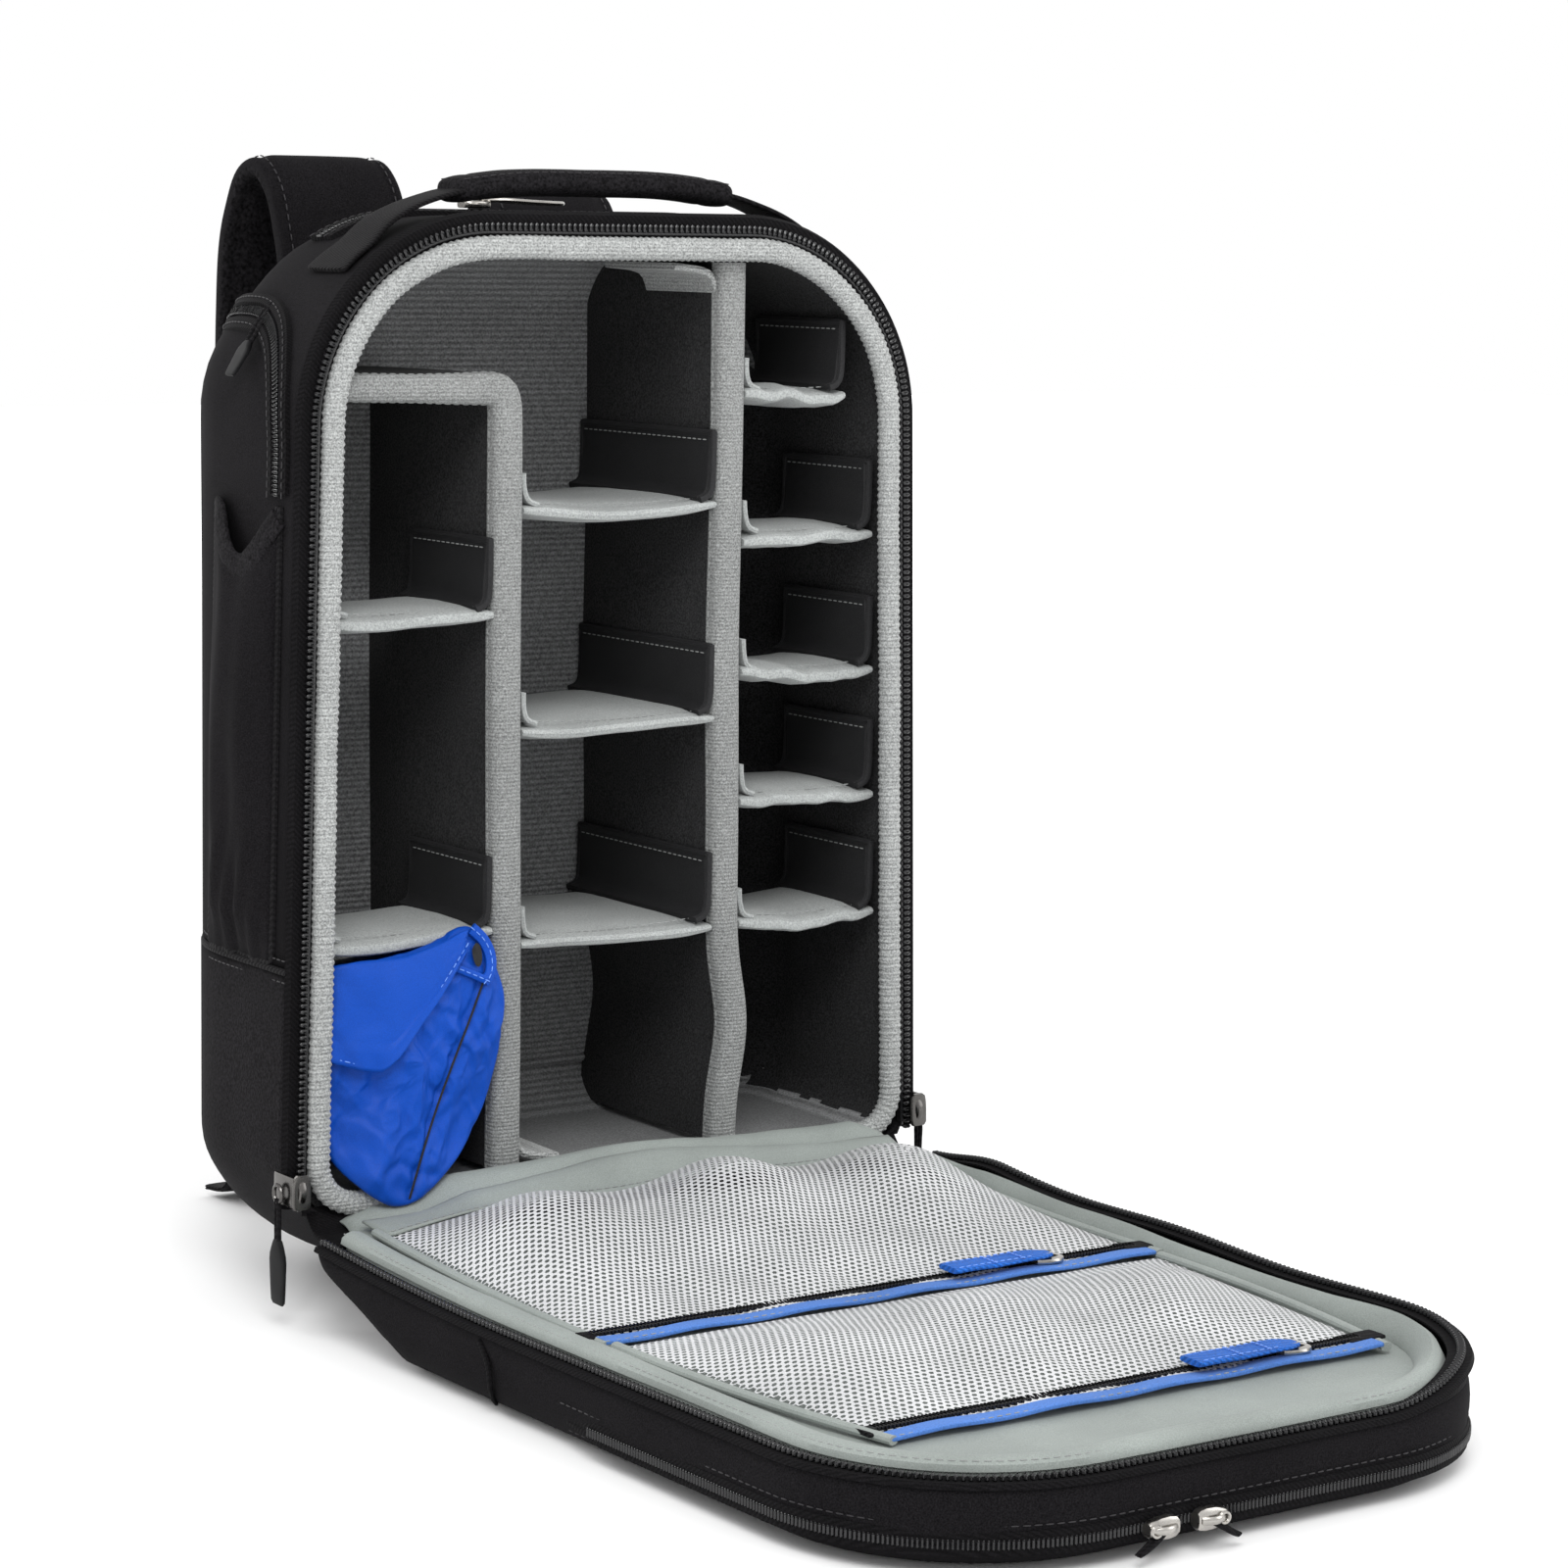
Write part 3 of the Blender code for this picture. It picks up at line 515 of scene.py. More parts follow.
def tapered(half_low, half_high, low, high, r_low, r_high, steps=16):
    """A closed outline with round corners, narrower at the top."""
    return (
        arc((half_low - r_low, low + r_low), r_low, -90, 0, steps)
        + arc((half_high - r_high, high - r_high), r_high, 0, 90, steps)
        + arc((r_high - half_high, high - r_high), r_high, 90, 180, steps)
        + arc((r_low - half_low, low + r_low), r_low, 180, 270, steps)
    )


def rim_outline(offset):
    return tapered(RIM_HALF_LOW + offset, RIM_HALF_HIGH + offset, RIM_LOW - offset, RIM_HIGH + offset,
                   RIM_R_LOW + offset, RIM_R_HIGH + offset)


def rim_half(z, offset=0.0):
    """Half the bag's width at a height."""
    if z <= RIM_ARC_Z:
        return RIM_HALF_HIGH + (RIM_ARC_Z - z) * SIDE_SLOPE + offset
    radius = RIM_R_HIGH + offset
    return RIM_ARC_X + math.sqrt(max(radius ** 2 - (z - RIM_ARC_Z) ** 2, 0.0))


def arch(offset, foot):
    """The rim without its bottom edge, from the right foot over the top to the left foot."""
    side = rim_half(foot, offset)
    radius = RIM_R_HIGH + offset
    return (
        [(side, foot)]
        + arc((RIM_ARC_X, RIM_ARC_Z), radius, 0, 90, 24)
        + arc((-RIM_ARC_X, RIM_ARC_Z), radius, 90, 180, 24)
        + [(-side, foot)]
    )


def resample(points, step, closed=False):
    """Evenly spaced points on a polyline, about a step apart."""
    p = np.asarray(points, float)
    if closed:
        p = np.vstack([p, p[:1]])
    keep = np.r_[True, np.linalg.norm(np.diff(p, axis=0), axis=1) > 1e-9]
    p = p[keep]
    s = np.r_[0.0, np.cumsum(np.linalg.norm(np.diff(p, axis=0), axis=1))]
    count = max(int(round(s[-1] / step)), 2)
    at = np.linspace(0.0, s[-1], count + 1)
    if closed:
        at = at[:-1]
    return np.column_stack([np.interp(at, s, p[:, k]) for k in range(p.shape[1])])


def spline_points(points, step=0.003):
    """A line through the points themselves, evenly spaced."""
    p = np.asarray(points, float)
    s = np.r_[0.0, np.cumsum(np.linalg.norm(np.diff(p, axis=0), axis=1))]
    fine = np.linspace(0, s[-1], max(int(s[-1] / (step / 3)), 8))
    slope = np.gradient(p, s, axis=0)
    out = []
    for t in fine:
        i = min(int(np.searchsorted(s, t, "right")) - 1, len(s) - 2)
        h = s[i + 1] - s[i]
        u = (t - s[i]) / h
        out.append((2 * u ** 3 - 3 * u ** 2 + 1) * p[i] + (u ** 3 - 2 * u ** 2 + u) * h * slope[i]
                   + (3 * u ** 2 - 2 * u ** 3) * p[i + 1] + (u ** 3 - u ** 2) * h * slope[i + 1])
    return resample(np.array(out), step)


def tangents(points, closed=False):
    p = np.asarray(points, float)
    if closed:
        d = np.roll(p, -1, 0) - np.roll(p, 1, 0)
    else:
        d = np.gradient(p, axis=0)
    return d / np.linalg.norm(d, axis=1)[:, None]


def case_plane(points, forward):
    """Points (x, height) of the rim plane, some way forward of the case's front edge."""
    p = np.asarray(points)
    return np.column_stack([p[:, 0], np.full(len(p), CASE_FRONT) - forward, p[:, 1]])


def panel_plane(points, z):
    """Points (x, height on the closed panel) as they lie on the open panel, at a height z."""
    p = np.asarray(points)
    return np.column_stack([p[:, 0], PANEL_SHIFT - p[:, 1], np.full(len(p), 1.0) * z])


def frames_along(path, lift, closed=False):
    """Tangent, side (away from the middle) and lift axes along a path."""
    t = tangents(path, closed)
    lift = np.broadcast_to(np.asarray(lift, float), t.shape)
    side = np.cross(t, lift)
    side /= np.linalg.norm(side, axis=1)[:, None]
    return t, side, lift


def waver(points, amount, scale, seed=0.0):
    """A smooth random number for each point."""
    return np.array([amount * noise.noise(Vector(p) * scale + Vector((seed, seed * 0.37, seed * 0.71)))
                     for p in points])


def stitch_row(name, path, lift, look, body, length=2.6, gap=1.1, radius=0.28, height=0.0, closed=False):
    """A row of stitches, each a short thread lying along the path. Sizes in mm."""
    spots = resample(path, (length + gap) * MM, closed)
    t, side, up = frames_along(spots, lift, closed)
    bar = round_bar(radius * MM, length * MM)
    verts, faces = copies(bar, spots + np.asarray(up) * height * MM, t, side, up)
    return piece(name, verts, faces, look, body)


def sewn(name, path, lift, look, *rest):
    """A row of stitches in its thread's own material slot."""
    row = stitch_row(name, path, lift, look, *rest)
    return row


def coil_teeth(name, path, side, lift, look, body, size):
    """The teeth of a coil zipper's half: one rounded loop for each turn. Sizes in mm."""
    tooth = soft_box(tuple(s * MM for s in size), 0.8)
    verts, faces = copies(tooth, path, tangents(path), side, lift)
    return piece(name, verts, faces, look, body)


# ================================================================ the case

def round_in(distance, radius):
    """How far a rounded edge has come in at a distance from its end plane."""
    if distance >= radius:
        return 0.0
    return radius - math.sqrt(max(radius ** 2 - (radius - distance) ** 2, 0.0))


def case_ring(y, back, out, low, r_low, side_round, base_round, shrink=1.0):
    """One section of the case, parallel to its opening."""
    side, base = round_in(back - y, side_round), round_in(back - y, base_round)
    top = round_in(back - y, min(side_round, TOP_ROUND))
    outline = np.array(tapered(
        RIM_HALF_LOW + out - side,
        RIM_HALF_HIGH + out - side,
        low + base,
        RIM_HIGH + out - top,
        max(r_low - side * 0.5, 0.006),
        RIM_R_HIGH + out - side * 0.5,
    ))
    middle = np.array((0.0, 0.21))
    outline = middle + (outline - middle) * shrink
    return np.column_stack([outline[:, 0], np.full(len(outline), y), outline[:, 1]])


def case_rings(front, back, out, low, r_low, side_round, base_round, flat=10, turn=12, middle=9):
    """Sections from the opening to the middle of the back."""
    rings = [case_ring(y, back, out, low, r_low, side_round, base_round)
             for y in np.linspace(front, back - side_round, flat)]
    for i in range(1, turn + 1):
        y = back - side_round * (1.0 - math.sin(math.pi / 2 * i / turn))
        rings.append(case_ring(y, back, out, low, r_low, side_round, base_round))
    for i in range(1, middle + 1):
        rings.append(case_ring(back, back, out, low, r_low, side_round, base_round, 1.0 - i / (middle + 1.0)))
    return rings


def side_pinch(points):
    """The sides are drawn in between the upper pocket and the boot, more so towards the back."""
    p = np.asarray(points)
    height = np.clip((p[:, 2] - 0.145) / 0.04, 0, 1) * np.clip((0.318 - p[:, 2]) / 0.05, 0, 1)
    pocket = np.exp(-((p[:, 2] - 0.350) / 0.030) ** 4)
    back = np.clip((p[:, 1] - CASE_FRONT - 0.012) / 0.05, 0, 1)
    corner = np.clip((p[:, 1] - 0.005) / 0.04, 0, 1) * np.clip((np.abs(p[:, 0]) - 0.085) / 0.02, 0, 1)
    amount = 0.0060 * height * back * np.clip((np.abs(p[:, 0]) - 0.06) / 0.02, 0, 1) - 0.0070 * pocket * corner
    depth = np.clip((p[:, 1] - 0.01) / 0.02, 0, 1)
    return np.column_stack([-np.sign(p[:, 0]) * amount, -amount * 0.8 * depth, np.zeros(len(p))])


def base_belly(points):
    """The base hangs lowest in its middle and rises towards the sides and the front."""
    p = np.asarray(points)
    side = np.clip(np.abs(p[:, 0]) / 0.15, 0, 1) ** 2.2
    front = np.clip((0.02 - p[:, 1]) / 0.08, 0, 1) ** 2
    rise = 0.024 * np.clip(side + 0.25 * front, 0, 1) * np.clip((0.085 - p[:, 2]) / 0.085, 0, 1) ** 0.8
    return np.column_stack([np.zeros(len(p)), np.zeros(len(p)), rise])


def cloth_dents(points, amount=0.0011):
    """The soft unevenness of padded cloth."""
    broad = waver(points, amount, 17.0, 2.0)
    fine = waver(points, amount * 0.35, 48.0, 5.0)
    return broad + fine


def make_shell(name, node, low_z, high_z, proud, look):
    rings = case_rings(CASE_FRONT, CASE_BACK, CASE_OUT + proud, 0.0, CASE_R_LOW, CASE_ROUND, BASE_ROUND)
    verts, faces = loft(rings, caps=False)
    faces.append(tuple(range(len(verts) - len(rings[0]), len(verts))))
    edge = np.clip((verts[:, 1] - CASE_FRONT) / 0.02, 0, 1)
    foot = np.clip((verts[:, 2] - 0.004) / 0.02, 0, 1)
    middle = np.array((0.0, 0.0, 0.21))
    out = verts - middle
    out[:, 1] = np.where(verts[:, 1] > 0.03, out[:, 1] * 3.0, 0.0)
    out /= np.linalg.norm(out, axis=1)[:, None]
    verts = verts + side_pinch(verts) + base_belly(verts) + out * (cloth_dents(verts, 0.0014) * edge * foot)[:, None]
    thing = piece(name, verts, faces, look)
    bm = bmesh.new()
    bm.from_mesh(thing.data)
    for z, keep_above in ((low_z, True), (high_z, False)):
        if z is None:
            continue
        everything = bm.verts[:] + bm.edges[:] + bm.faces[:]
        bmesh.ops.bisect_plane(bm, geom=everything, plane_co=(0, 0, z), plane_no=(0, 0, 1),
                               clear_inner=keep_above, clear_outer=not keep_above)
    bm.to_mesh(thing.data)
    bm.free()
    add_modifier(thing, "SOLIDIFY", thickness=0.0012, offset=-1.0)
    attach(thing, "case")
    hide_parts(node)
    return thing


def case_section(z, out):
    """The outer line of the case at a height, from its left front round the back to its right front."""
    ys = list(np.linspace(CASE_FRONT, CASE_BACK - CASE_ROUND, 8))
    ys += [CASE_BACK - CASE_ROUND * (1.0 - math.sin(math.pi / 2 * i / 14)) for i in range(1, 15)]
    points = [(round_in(CASE_BACK - y, CASE_ROUND) - rim_half(z, CASE_OUT + out), y) for y in ys]
    points[-1] = (points[-1][0], CASE_BACK + out)
    right = [(-x, y) for x, y in points[::-1]]
    line = np.array(points + right)
    line = np.column_stack([line, np.full(len(line), z)])
    return line + side_pinch(line)


def make_seam():
    """The piped seam where the boot meets the upper shell, with a row of stitches on each side."""
    line = resample(case_section(SEAM_Z, 0.0012), 0.004)
    side = frames_along(line, UP_AXIS)[1]
    verts, faces = sweep(line, side, np.broadcast_to(UP_AXIS, line.shape), ellipse(0.0011, 0.0014, 8))
    seam_and_crease_shadow = piece("boot_seam", verts, faces, "webbing", "case")
    for shift in (-0.0042, 0.0042):
        row = line + np.array((0.0, 0.0, shift)) + side * 0.0002
        stitch_row("boot_stitches_%s" % ("low" if shift < 0 else "high"), row, UP_AXIS, "dark_thread", "case", 2.8,
                   1.0, 0.3)


def make_case():
    make_shell("case_shell", "outer_shell", SEAM_Z, None, 0.0, "nylon")
    make_shell("case_boot", "base_boot", None, SEAM_Z, 0.0007, "boot")
    make_seam()


def make_liner():
    """The padded lining: a thick cup, with a ribbed panel on its back wall."""
    inner = case_rings(CASE_FRONT + 0.001, LINER_BACK, LINER_IN, RIM_LOW - LINER_IN, RIM_R_LOW + LINER_IN,
                       LINER_SIDE_ROUND, LINER_BASE_ROUND - 0.006)
    outer = case_rings(CASE_FRONT + 0.001, LINER_BACK + 0.006, -0.0012, RIM_LOW + 0.0012, RIM_R_LOW - 0.0012,
                       CASE_ROUND, LINER_BASE_ROUND)
    verts, faces = loft(inner[::-1] + outer)
    inside = np.arange(len(verts)) < len(inner) * len(inner[0])
    wall = np.clip((verts[:, 1] - CASE_FRONT) / 0.03, 0, 1) * inside
    right = np.clip((verts[:, 0] - 0.06) / 0.05, 0, 1)
    low = np.clip((0.16 - verts[:, 2]) / 0.10, 0, 1)
    dents = waver(verts, 0.0012, 26.0, 1.0) + waver(verts * np.array((1, 1, 0.5)), 0.0030, 60.0, 4.0) * right * low
    verts[:, 0] -= np.sign(verts[:, 0]) * np.abs(dents) * wall
    liner = piece("liner", verts, faces, "loop", "case")
    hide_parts("padded_liner")
    liner.data.materials.append(LOOK["back"])
    for face in liner.data.polygons:
        if abs(face.normal.z) > 0.75 and face.center.z < 0.075 or face.normal.y < -0.4 and face.center.y > 0.02:
            face.material_index = 1
    panel_outline = tapered(0.112, 0.106, 0.066, 0.392, 0.030, 0.050, 8)
    rings = []
    for shrink, y in ((1.0, 0.0506), (1.0, 0.0478), (0.985, 0.0470), (0.6, 0.0468), (0.2, 0.0468)):
        ring = np.array([(x * shrink, y, 0.22 + (z - 0.22) * shrink) for x, z in panel_outline])
        rings.append(ring)
    verts, faces = loft(rings)
    back = piece("liner_back_panel", verts, faces, "back", "case")
    edge = np.array([(x, 0.0474, z) for x, z in resample(tapered(0.1125, 0.1065, 0.0655, 0.3925, 0.030, 0.050, 8),
                                                         0.004, True)])
    verts, faces = swept(edge, FRONT_AXIS, ellipse(0.0015, 0.0013, 8), True)
    slotted("liner_back_piping", verts, faces, "back", "case")


def make_rim():
    """The knitted binding round the opening, and the body half of the main zipper."""
    pitch = 2.8 * MM
    line = resample(rim_outline(-0.0078), pitch / 4, True)
    path = case_plane(line, 0.0030)
    _, side, lift = frames_along(path, FRONT_AXIS, True)
    middle = path.mean(0)
    side = facing(side, path - middle)
    rings = []
    swell = waver(path, 0.00045, 35.0, 8.0)
    for i, (p, s, l) in enumerate(zip(path, side, lift)):
        rib = 1.0 + 0.075 * math.sin(math.pi / 2 * i)
        ring = [p + s * (u * rib + swell[i]) + l * (v * rib) for u, v in ellipse(0.0045, 0.0034, 12, 0.8)]
        rings.append(ring)
    verts, faces = loft(rings, True)
    binding = piece("opening_binding", verts, faces, "edge", "case", sharp=math.radians(80))
    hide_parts("rim_binding")
    inner = case_plane(resample(rim_outline(-0.0104), 0.003, True), 0.0056)
    stitch_row("binding_stitches", inner, FRONT_AXIS, "thread", "case", 2.4, 1.3, 0.30, closed=True)
    line = resample(arch(0.0006, RIM_FOOT), 0.004)
    path = case_plane(line, 0.0018)
    _, side, lift = frames_along(path, FRONT_AXIS)
    tape_profile = [(-0.0042, -0.0004), (0.0040, -0.0004), (0.0052, -0.0022), (0.0056, -0.0022), (0.0043, 0.0004),
                    (-0.0042, 0.0004)]
    verts, faces = sweep(path, side, lift, tape_profile)
    tape = piece("rim_tape", verts, faces, "tape", "case")
    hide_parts("rim_zipper_tape")
    path = case_plane(resample(arch(0.0, RIM_FOOT), 2.45 * MM), 0.0038)
    _, side, lift = frames_along(path, FRONT_AXIS)
    teeth = coil_teeth("rim_teeth", path, side, lift, "coil", "case", size=(1.55, 3.4, 2.5))
    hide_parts("rim_zipper_chain")
    cord_line = case_plane(resample(arch(-0.0019, RIM_FOOT), 0.004), 0.0031)
    verts, faces = swept(cord_line, FRONT_AXIS, ellipse(0.0007, 0.0007, 6))
    piece("rim_coil_cord", verts, faces, "coil", "case")


def make_sill():
    """The narrow front of the base under the opening, and the foam that stands behind it."""
    ring = case_ring(CASE_FRONT, CASE_BACK, CASE_OUT, 0.0, CASE_R_LOW, CASE_ROUND, BASE_ROUND)
    low = ring[ring[:, 2] < 0.038]
    low = low[np.argsort(low[:, 0])]
    low = low + base_belly(low)
    high = np.column_stack([low[:, 0] * 0.99, np.full(len(low), CASE_FRONT), np.full(len(low), 0.0420)])
    rows = []
    for s in np.linspace(0, 1, 7):
        row = low * (1 - s) + high * s
        row[:, 1] = CASE_FRONT - 0.0004 - 0.0014 * math.sin(math.pi * s)
        rows.append(row)
    sill = piece("case_sill", np.concatenate(rows), strip_faces(len(rows), len(low)), "boot", "case")
    add_modifier(sill, "SOLIDIFY", thickness=0.0008, offset=0.0)
    rings = []
    for z, inset in ((0.0135, 0.0030), (0.0150, 0.0006), (0.0200, 0.0), (0.0330, 0.0), (0.0352, 0.0008),
                     (0.0362, 0.0030)):
        corners = np.array(tapered(0.0760 - inset, 0.0760 - inset, -0.0545 + inset, 0.0180 - inset, 0.006, 0.006))
        rings.append(np.column_stack([corners, np.full(len(corners), z)]))
    verts, faces = loft(rings, caps=True)
    pad = piece("base_pad", verts, faces, "foam", "case")
    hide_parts("base_foam")


def keep_inner_nodes():
    """The stiff sheet keeps its shape and gets a proper finish."""
    thing = frame["nodes"]["frame_sheet"]
    thing.data.materials.clear()
    thing.data.materials.append(LOOK["board"])


# ================================================================ dividers, shelves and pouch

def curve_points(points, step=0.003, rounds=3):
    """A smooth line through corner points, in evenly spaced steps."""
    p = np.asarray(points, float)
    for _ in range(rounds):
        a, b = p[:-1], p[1:]
        cut = np.empty((2 * len(a), p.shape[1]))
        cut[0::2], cut[1::2] = a * 0.75 + b * 0.25, a * 0.25 + b * 0.75
        p = np.vstack([p[:1], cut[1:-1], p[-1:]])
    return resample(p, step)


def padded_wall(name, body, line, widths, front, back, strip=0.0075, core="loop", edge="knit"):
    """A padded divider: a core between two faces, and a bound front edge. The line is its (x, z) middle line."""
    line = np.asarray(line)
    path = np.column_stack([line[:, 0], np.full(len(line), front), line[:, 1]])
    _, side, lift = frames_along(path, FRONT_AXIS)
    ends = np.linspace(0.0, 1.0, len(line))
    half = np.interp(ends, np.linspace(0, 1, len(widths)), widths) / 2
    soft = waver(path, 0.0007, 30.0, 3.0)
    depth = back - front
    rings = []
    for p, s, l, w, k in zip(path, side, lift, half, soft):
        w0 = w - 0.0004
        profile = [(-w0, -strip + 0.001), (-w0 - k, -depth * 0.35), (-w0 + k * 0.5, -depth * 0.7), (-w0 * 0.9, -depth),
                   (w0 * 0.9, -depth), (w0 + k * 0.5, -depth * 0.7), (w0 - k, -depth * 0.35), (w0, -strip + 0.001)]
        rings.append([p + u * s + v * l for u, v in profile])
    verts, faces = loft(rings)
    wall = piece(name, verts, faces, core, body)
    rings = []
    for p, s, l, w, k in zip(path, side, lift, half, soft):
        w0 = w + 0.0002 + 0.12 * k
        nose = [(w0 * math.cos(a), -0.0034 + 0.0034 * math.sin(a)) for a in np.linspace(0, math.pi, 9)]
        profile = [(w0, -strip)] + nose + [(-w0, -strip), (-w0 * 0.6, -strip - 0.001), (w0 * 0.6, -strip - 0.001)]
        rings.append([p + u * s + v * l for u, v in profile])
    verts, faces = loft(rings)
    band = piece(name + "_edge", verts, faces, edge, body)
    for sign, word in ((-1, "near"), (1, "far")):
        row = path + side * (sign * (half[:, None] + 0.0003)) + np.asarray(lift) * (-strip + 0.0014)
        sewn("%s_stitches_%s" % (name, word), row, FRONT_AXIS, "thread", body, 2.6, 1.4, 0.26)
    return wall


def cloth_tab(name, body, line, thick, front, back, look, border=None):
    """A flat flap of cloth: its (x, z) line carried from front to back, with a sewn border."""
    line = np.asarray(line)
    path = np.column_stack([line[:, 0], np.full(len(line), front), line[:, 1]])
    _, side, lift = frames_along(path, FRONT_AXIS)
    depth = back - front
    half = thick / 2
    profile = [(-half, -0.0008), (0, 0), (half, -0.0008), (half, -depth * 0.5), (half, -depth + 0.0008), (0, -depth),
               (-half, -depth + 0.0008), (-half, -depth * 0.5)]
    verts, faces = sweep(path, side, lift, profile)
    verts = verts + np.column_stack([waver(verts, 0.0009, 55.0, 7.0), np.zeros(len(verts)), np.zeros(len(verts))])
    flap = piece(name, verts, faces, look, body)
    if border:
        inset = 0.0035
        top = path[-1] - tangents(path)[-1] * inset
        face = side[-1] * (half + 0.0003) * border
        loop = [top + face + np.array((0, inset, 0)), top + face + np.array((0, depth - inset, 0))]
        sewn(name + "_stitches", np.array(loop), side[-1] * border, "thread", body, 2.4, 1.3, 0.26)
    return flap


def make_dividers():
    low, high = [np.array(p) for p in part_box("divider_left")]
    shelf_low, shelf_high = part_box("top_shelf")
    x = (low[0] + high[0]) / 2
    middle_z = (shelf_low[2] + shelf_high[2]) / 2
    start = shelf_low[0] + 0.001
    line = curve_points([(x, low[2] + 0.001), (x + 0.0006, 0.12), (x - 0.0006, 0.23), (x, 0.335),
                         (x - 0.0002, middle_z - 0.0022),
                         (x - 0.0050, middle_z + 0.0004), (x - 0.020, middle_z), (start, middle_z + 0.0012)], 0.002)
    widths = [0.0127] * 18 + [0.0124, 0.0112, 0.0102, 0.0102, 0.0102]
    wall = padded_wall("left_divider_wall", "divider_left", line, widths, low[1], high[1])
    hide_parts("divider_left", "top_shelf")
    foot = curve_points([(high[0] - 0.001, low[2] + 0.013), (high[0] + 0.0016, low[2] + 0.0045),
                         (high[0] + 0.020, low[2] + 0.0022)])
    cloth_tab("left_divider_foot", "divider_left", foot, 0.0028, -0.052, 0.01, "edge")
    tab = curve_points([(start + 0.006, middle_z + 0.003), (start + 0.001, middle_z + 0.010),
                        (start - 0.0006, middle_z + 0.030)])
    cloth_tab("top_shelf_tab", "divider_left", tab, 0.0026, -0.050, 0.0, "edge")
    low, high = [np.array(p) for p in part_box("divider_right")]
    x = (low[0] + high[0]) / 2
    heights = np.linspace(low[2] + 0.0005, high[2] - 0.0005, 120)
    bow = 0.0052 * np.exp(-((heights - 0.096) / 0.024) ** 2) - 0.0010 * np.exp(-((heights - 0.25) / 0.05) ** 2)
    line = np.column_stack([x + bow, heights])
    wall = padded_wall("right_divider_wall", "divider_right", line, [0.0127, 0.0122, 0.0127, 0.0122, 0.0127],
                       low[1], high[1])
    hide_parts("divider_right")
    top = curve_points([(x - 0.0052, high[2] - 0.012), (x - 0.008, high[2] - 0.0035), (x - 0.026, high[2] - 0.002)])
    cloth_tab("right_divider_tab", "divider_right", top, 0.0026, -0.052, 0.0, "edge")


def make_shelf(name, pleats=0):
    """A soft shelf with a flap standing up on the wall at each end."""
    (x0, y0, z0), (x1, y1, z1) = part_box(name)
    thick = 0.0082
    middle = z0 + thick / 2
    flap_top = z1
    across = x1 - x0
    front, back = y0 + 0.0005, y1
    seed = (x0 * 31.0 + z0 * 57.0) % 7.0
    sag = min(0.0016, across * 0.02)
    rings = []
    stations = np.r_[0.0, 0.02, 0.05, np.linspace(0.1, 0.9, 17), 0.95, 0.98, 1.0]
    for u in stations:
        edge = min(u, 1.0 - u)
        t = thick * (0.62 + 0.38 * min(1.0, edge / 0.12) ** 0.6)
        z = middle - sag * 4 * u * (1 - u) + 0.0008 * math.sin(seed + 5.0 * u)
        ring = []
        length = back - front
        for v, w in ellipse(0.5, 0.5, 28, 0.62):
            y = front + length * (0.5 + v)
            squeeze = 1.0 - 0.22 * math.exp(-((y - front - 0.006) / 0.0022) ** 2) * (abs(v) < 0.49)
            dimple = 0.0005 * noise.noise(Vector((u * across * 45.0, y * 45.0, seed)))
            ripple = noise.noise(Vector((u * across * 95.0, seed, 0.4)))
            pleat = 0.0022 * pleats * ripple * math.exp(-((y - front) / 0.030) ** 2)
            ring.append((x0 + across * u, y, z + t * w * squeeze + dimple + pleat))
        rings.append(ring)
    verts, faces = loft(rings)
    shelf = piece(name + "_pad", verts, faces, "shelf", name)
    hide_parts(name)
    seam_and_crease_shadow = [(x0 + across * u, front + 0.0062, middle - sag * 4 * u * (1 - u) + thick * 0.42)
            for u in np.linspace(0.03, 0.97, 30)]
    sewn(name + "_stitches", np.array(seam_and_crease_shadow), UP_AXIS, "thread", name, 2.6, 1.3, 0.26)
    right = curve_points([(x1 - 0.0075, middle + 0.0028), (x1 - 0.0030, middle + 0.0042), (x1 - 0.0014, middle + 0.009),
                          (x1 - 0.0012, flap_top)], 0.002)
    cloth_tab(name + "_flap", name, right, 0.0024, front + 0.002, back - 0.002, "flap", -1)
    hem = []
    for y in (front + 0.0012, back - 0.0012):
        strip = np.array([(x, y, z) for x, z in right])
        hem.append(swept(strip, FRONT_AXIS, ellipse(0.0015, 0.0012, 8)))
    top = np.array([(x1 - 0.0014, y, flap_top - 0.0008) for y in np.linspace(front + 0.001, back - 0.001, 16)])
    hem.append(swept(top, UP_AXIS, ellipse(0.0015, 0.0014, 8)))
    verts, faces = merged(hem)
    slotted(name + "_flap_edge", verts, faces, "flap", name)
    left_top = middle + 0.015
    left = curve_points([(x0 + 0.0075, middle + 0.0026), (x0 + 0.0028, middle + 0.0040), (x0 + 0.0014, middle + 0.009),
                         (x0 + 0.0012, left_top)], 0.002)
    cloth_tab(name + "_left_flap", name, left, 0.0020, front + 0.001, back - 0.004, "shelf", 1)


def make_shelves():
    for body in sorted(frame["bodies"]):
        if body.startswith("shelf_"):
            make_shelf(body, pleats=1 if body.startswith("shelf_right") else 0)


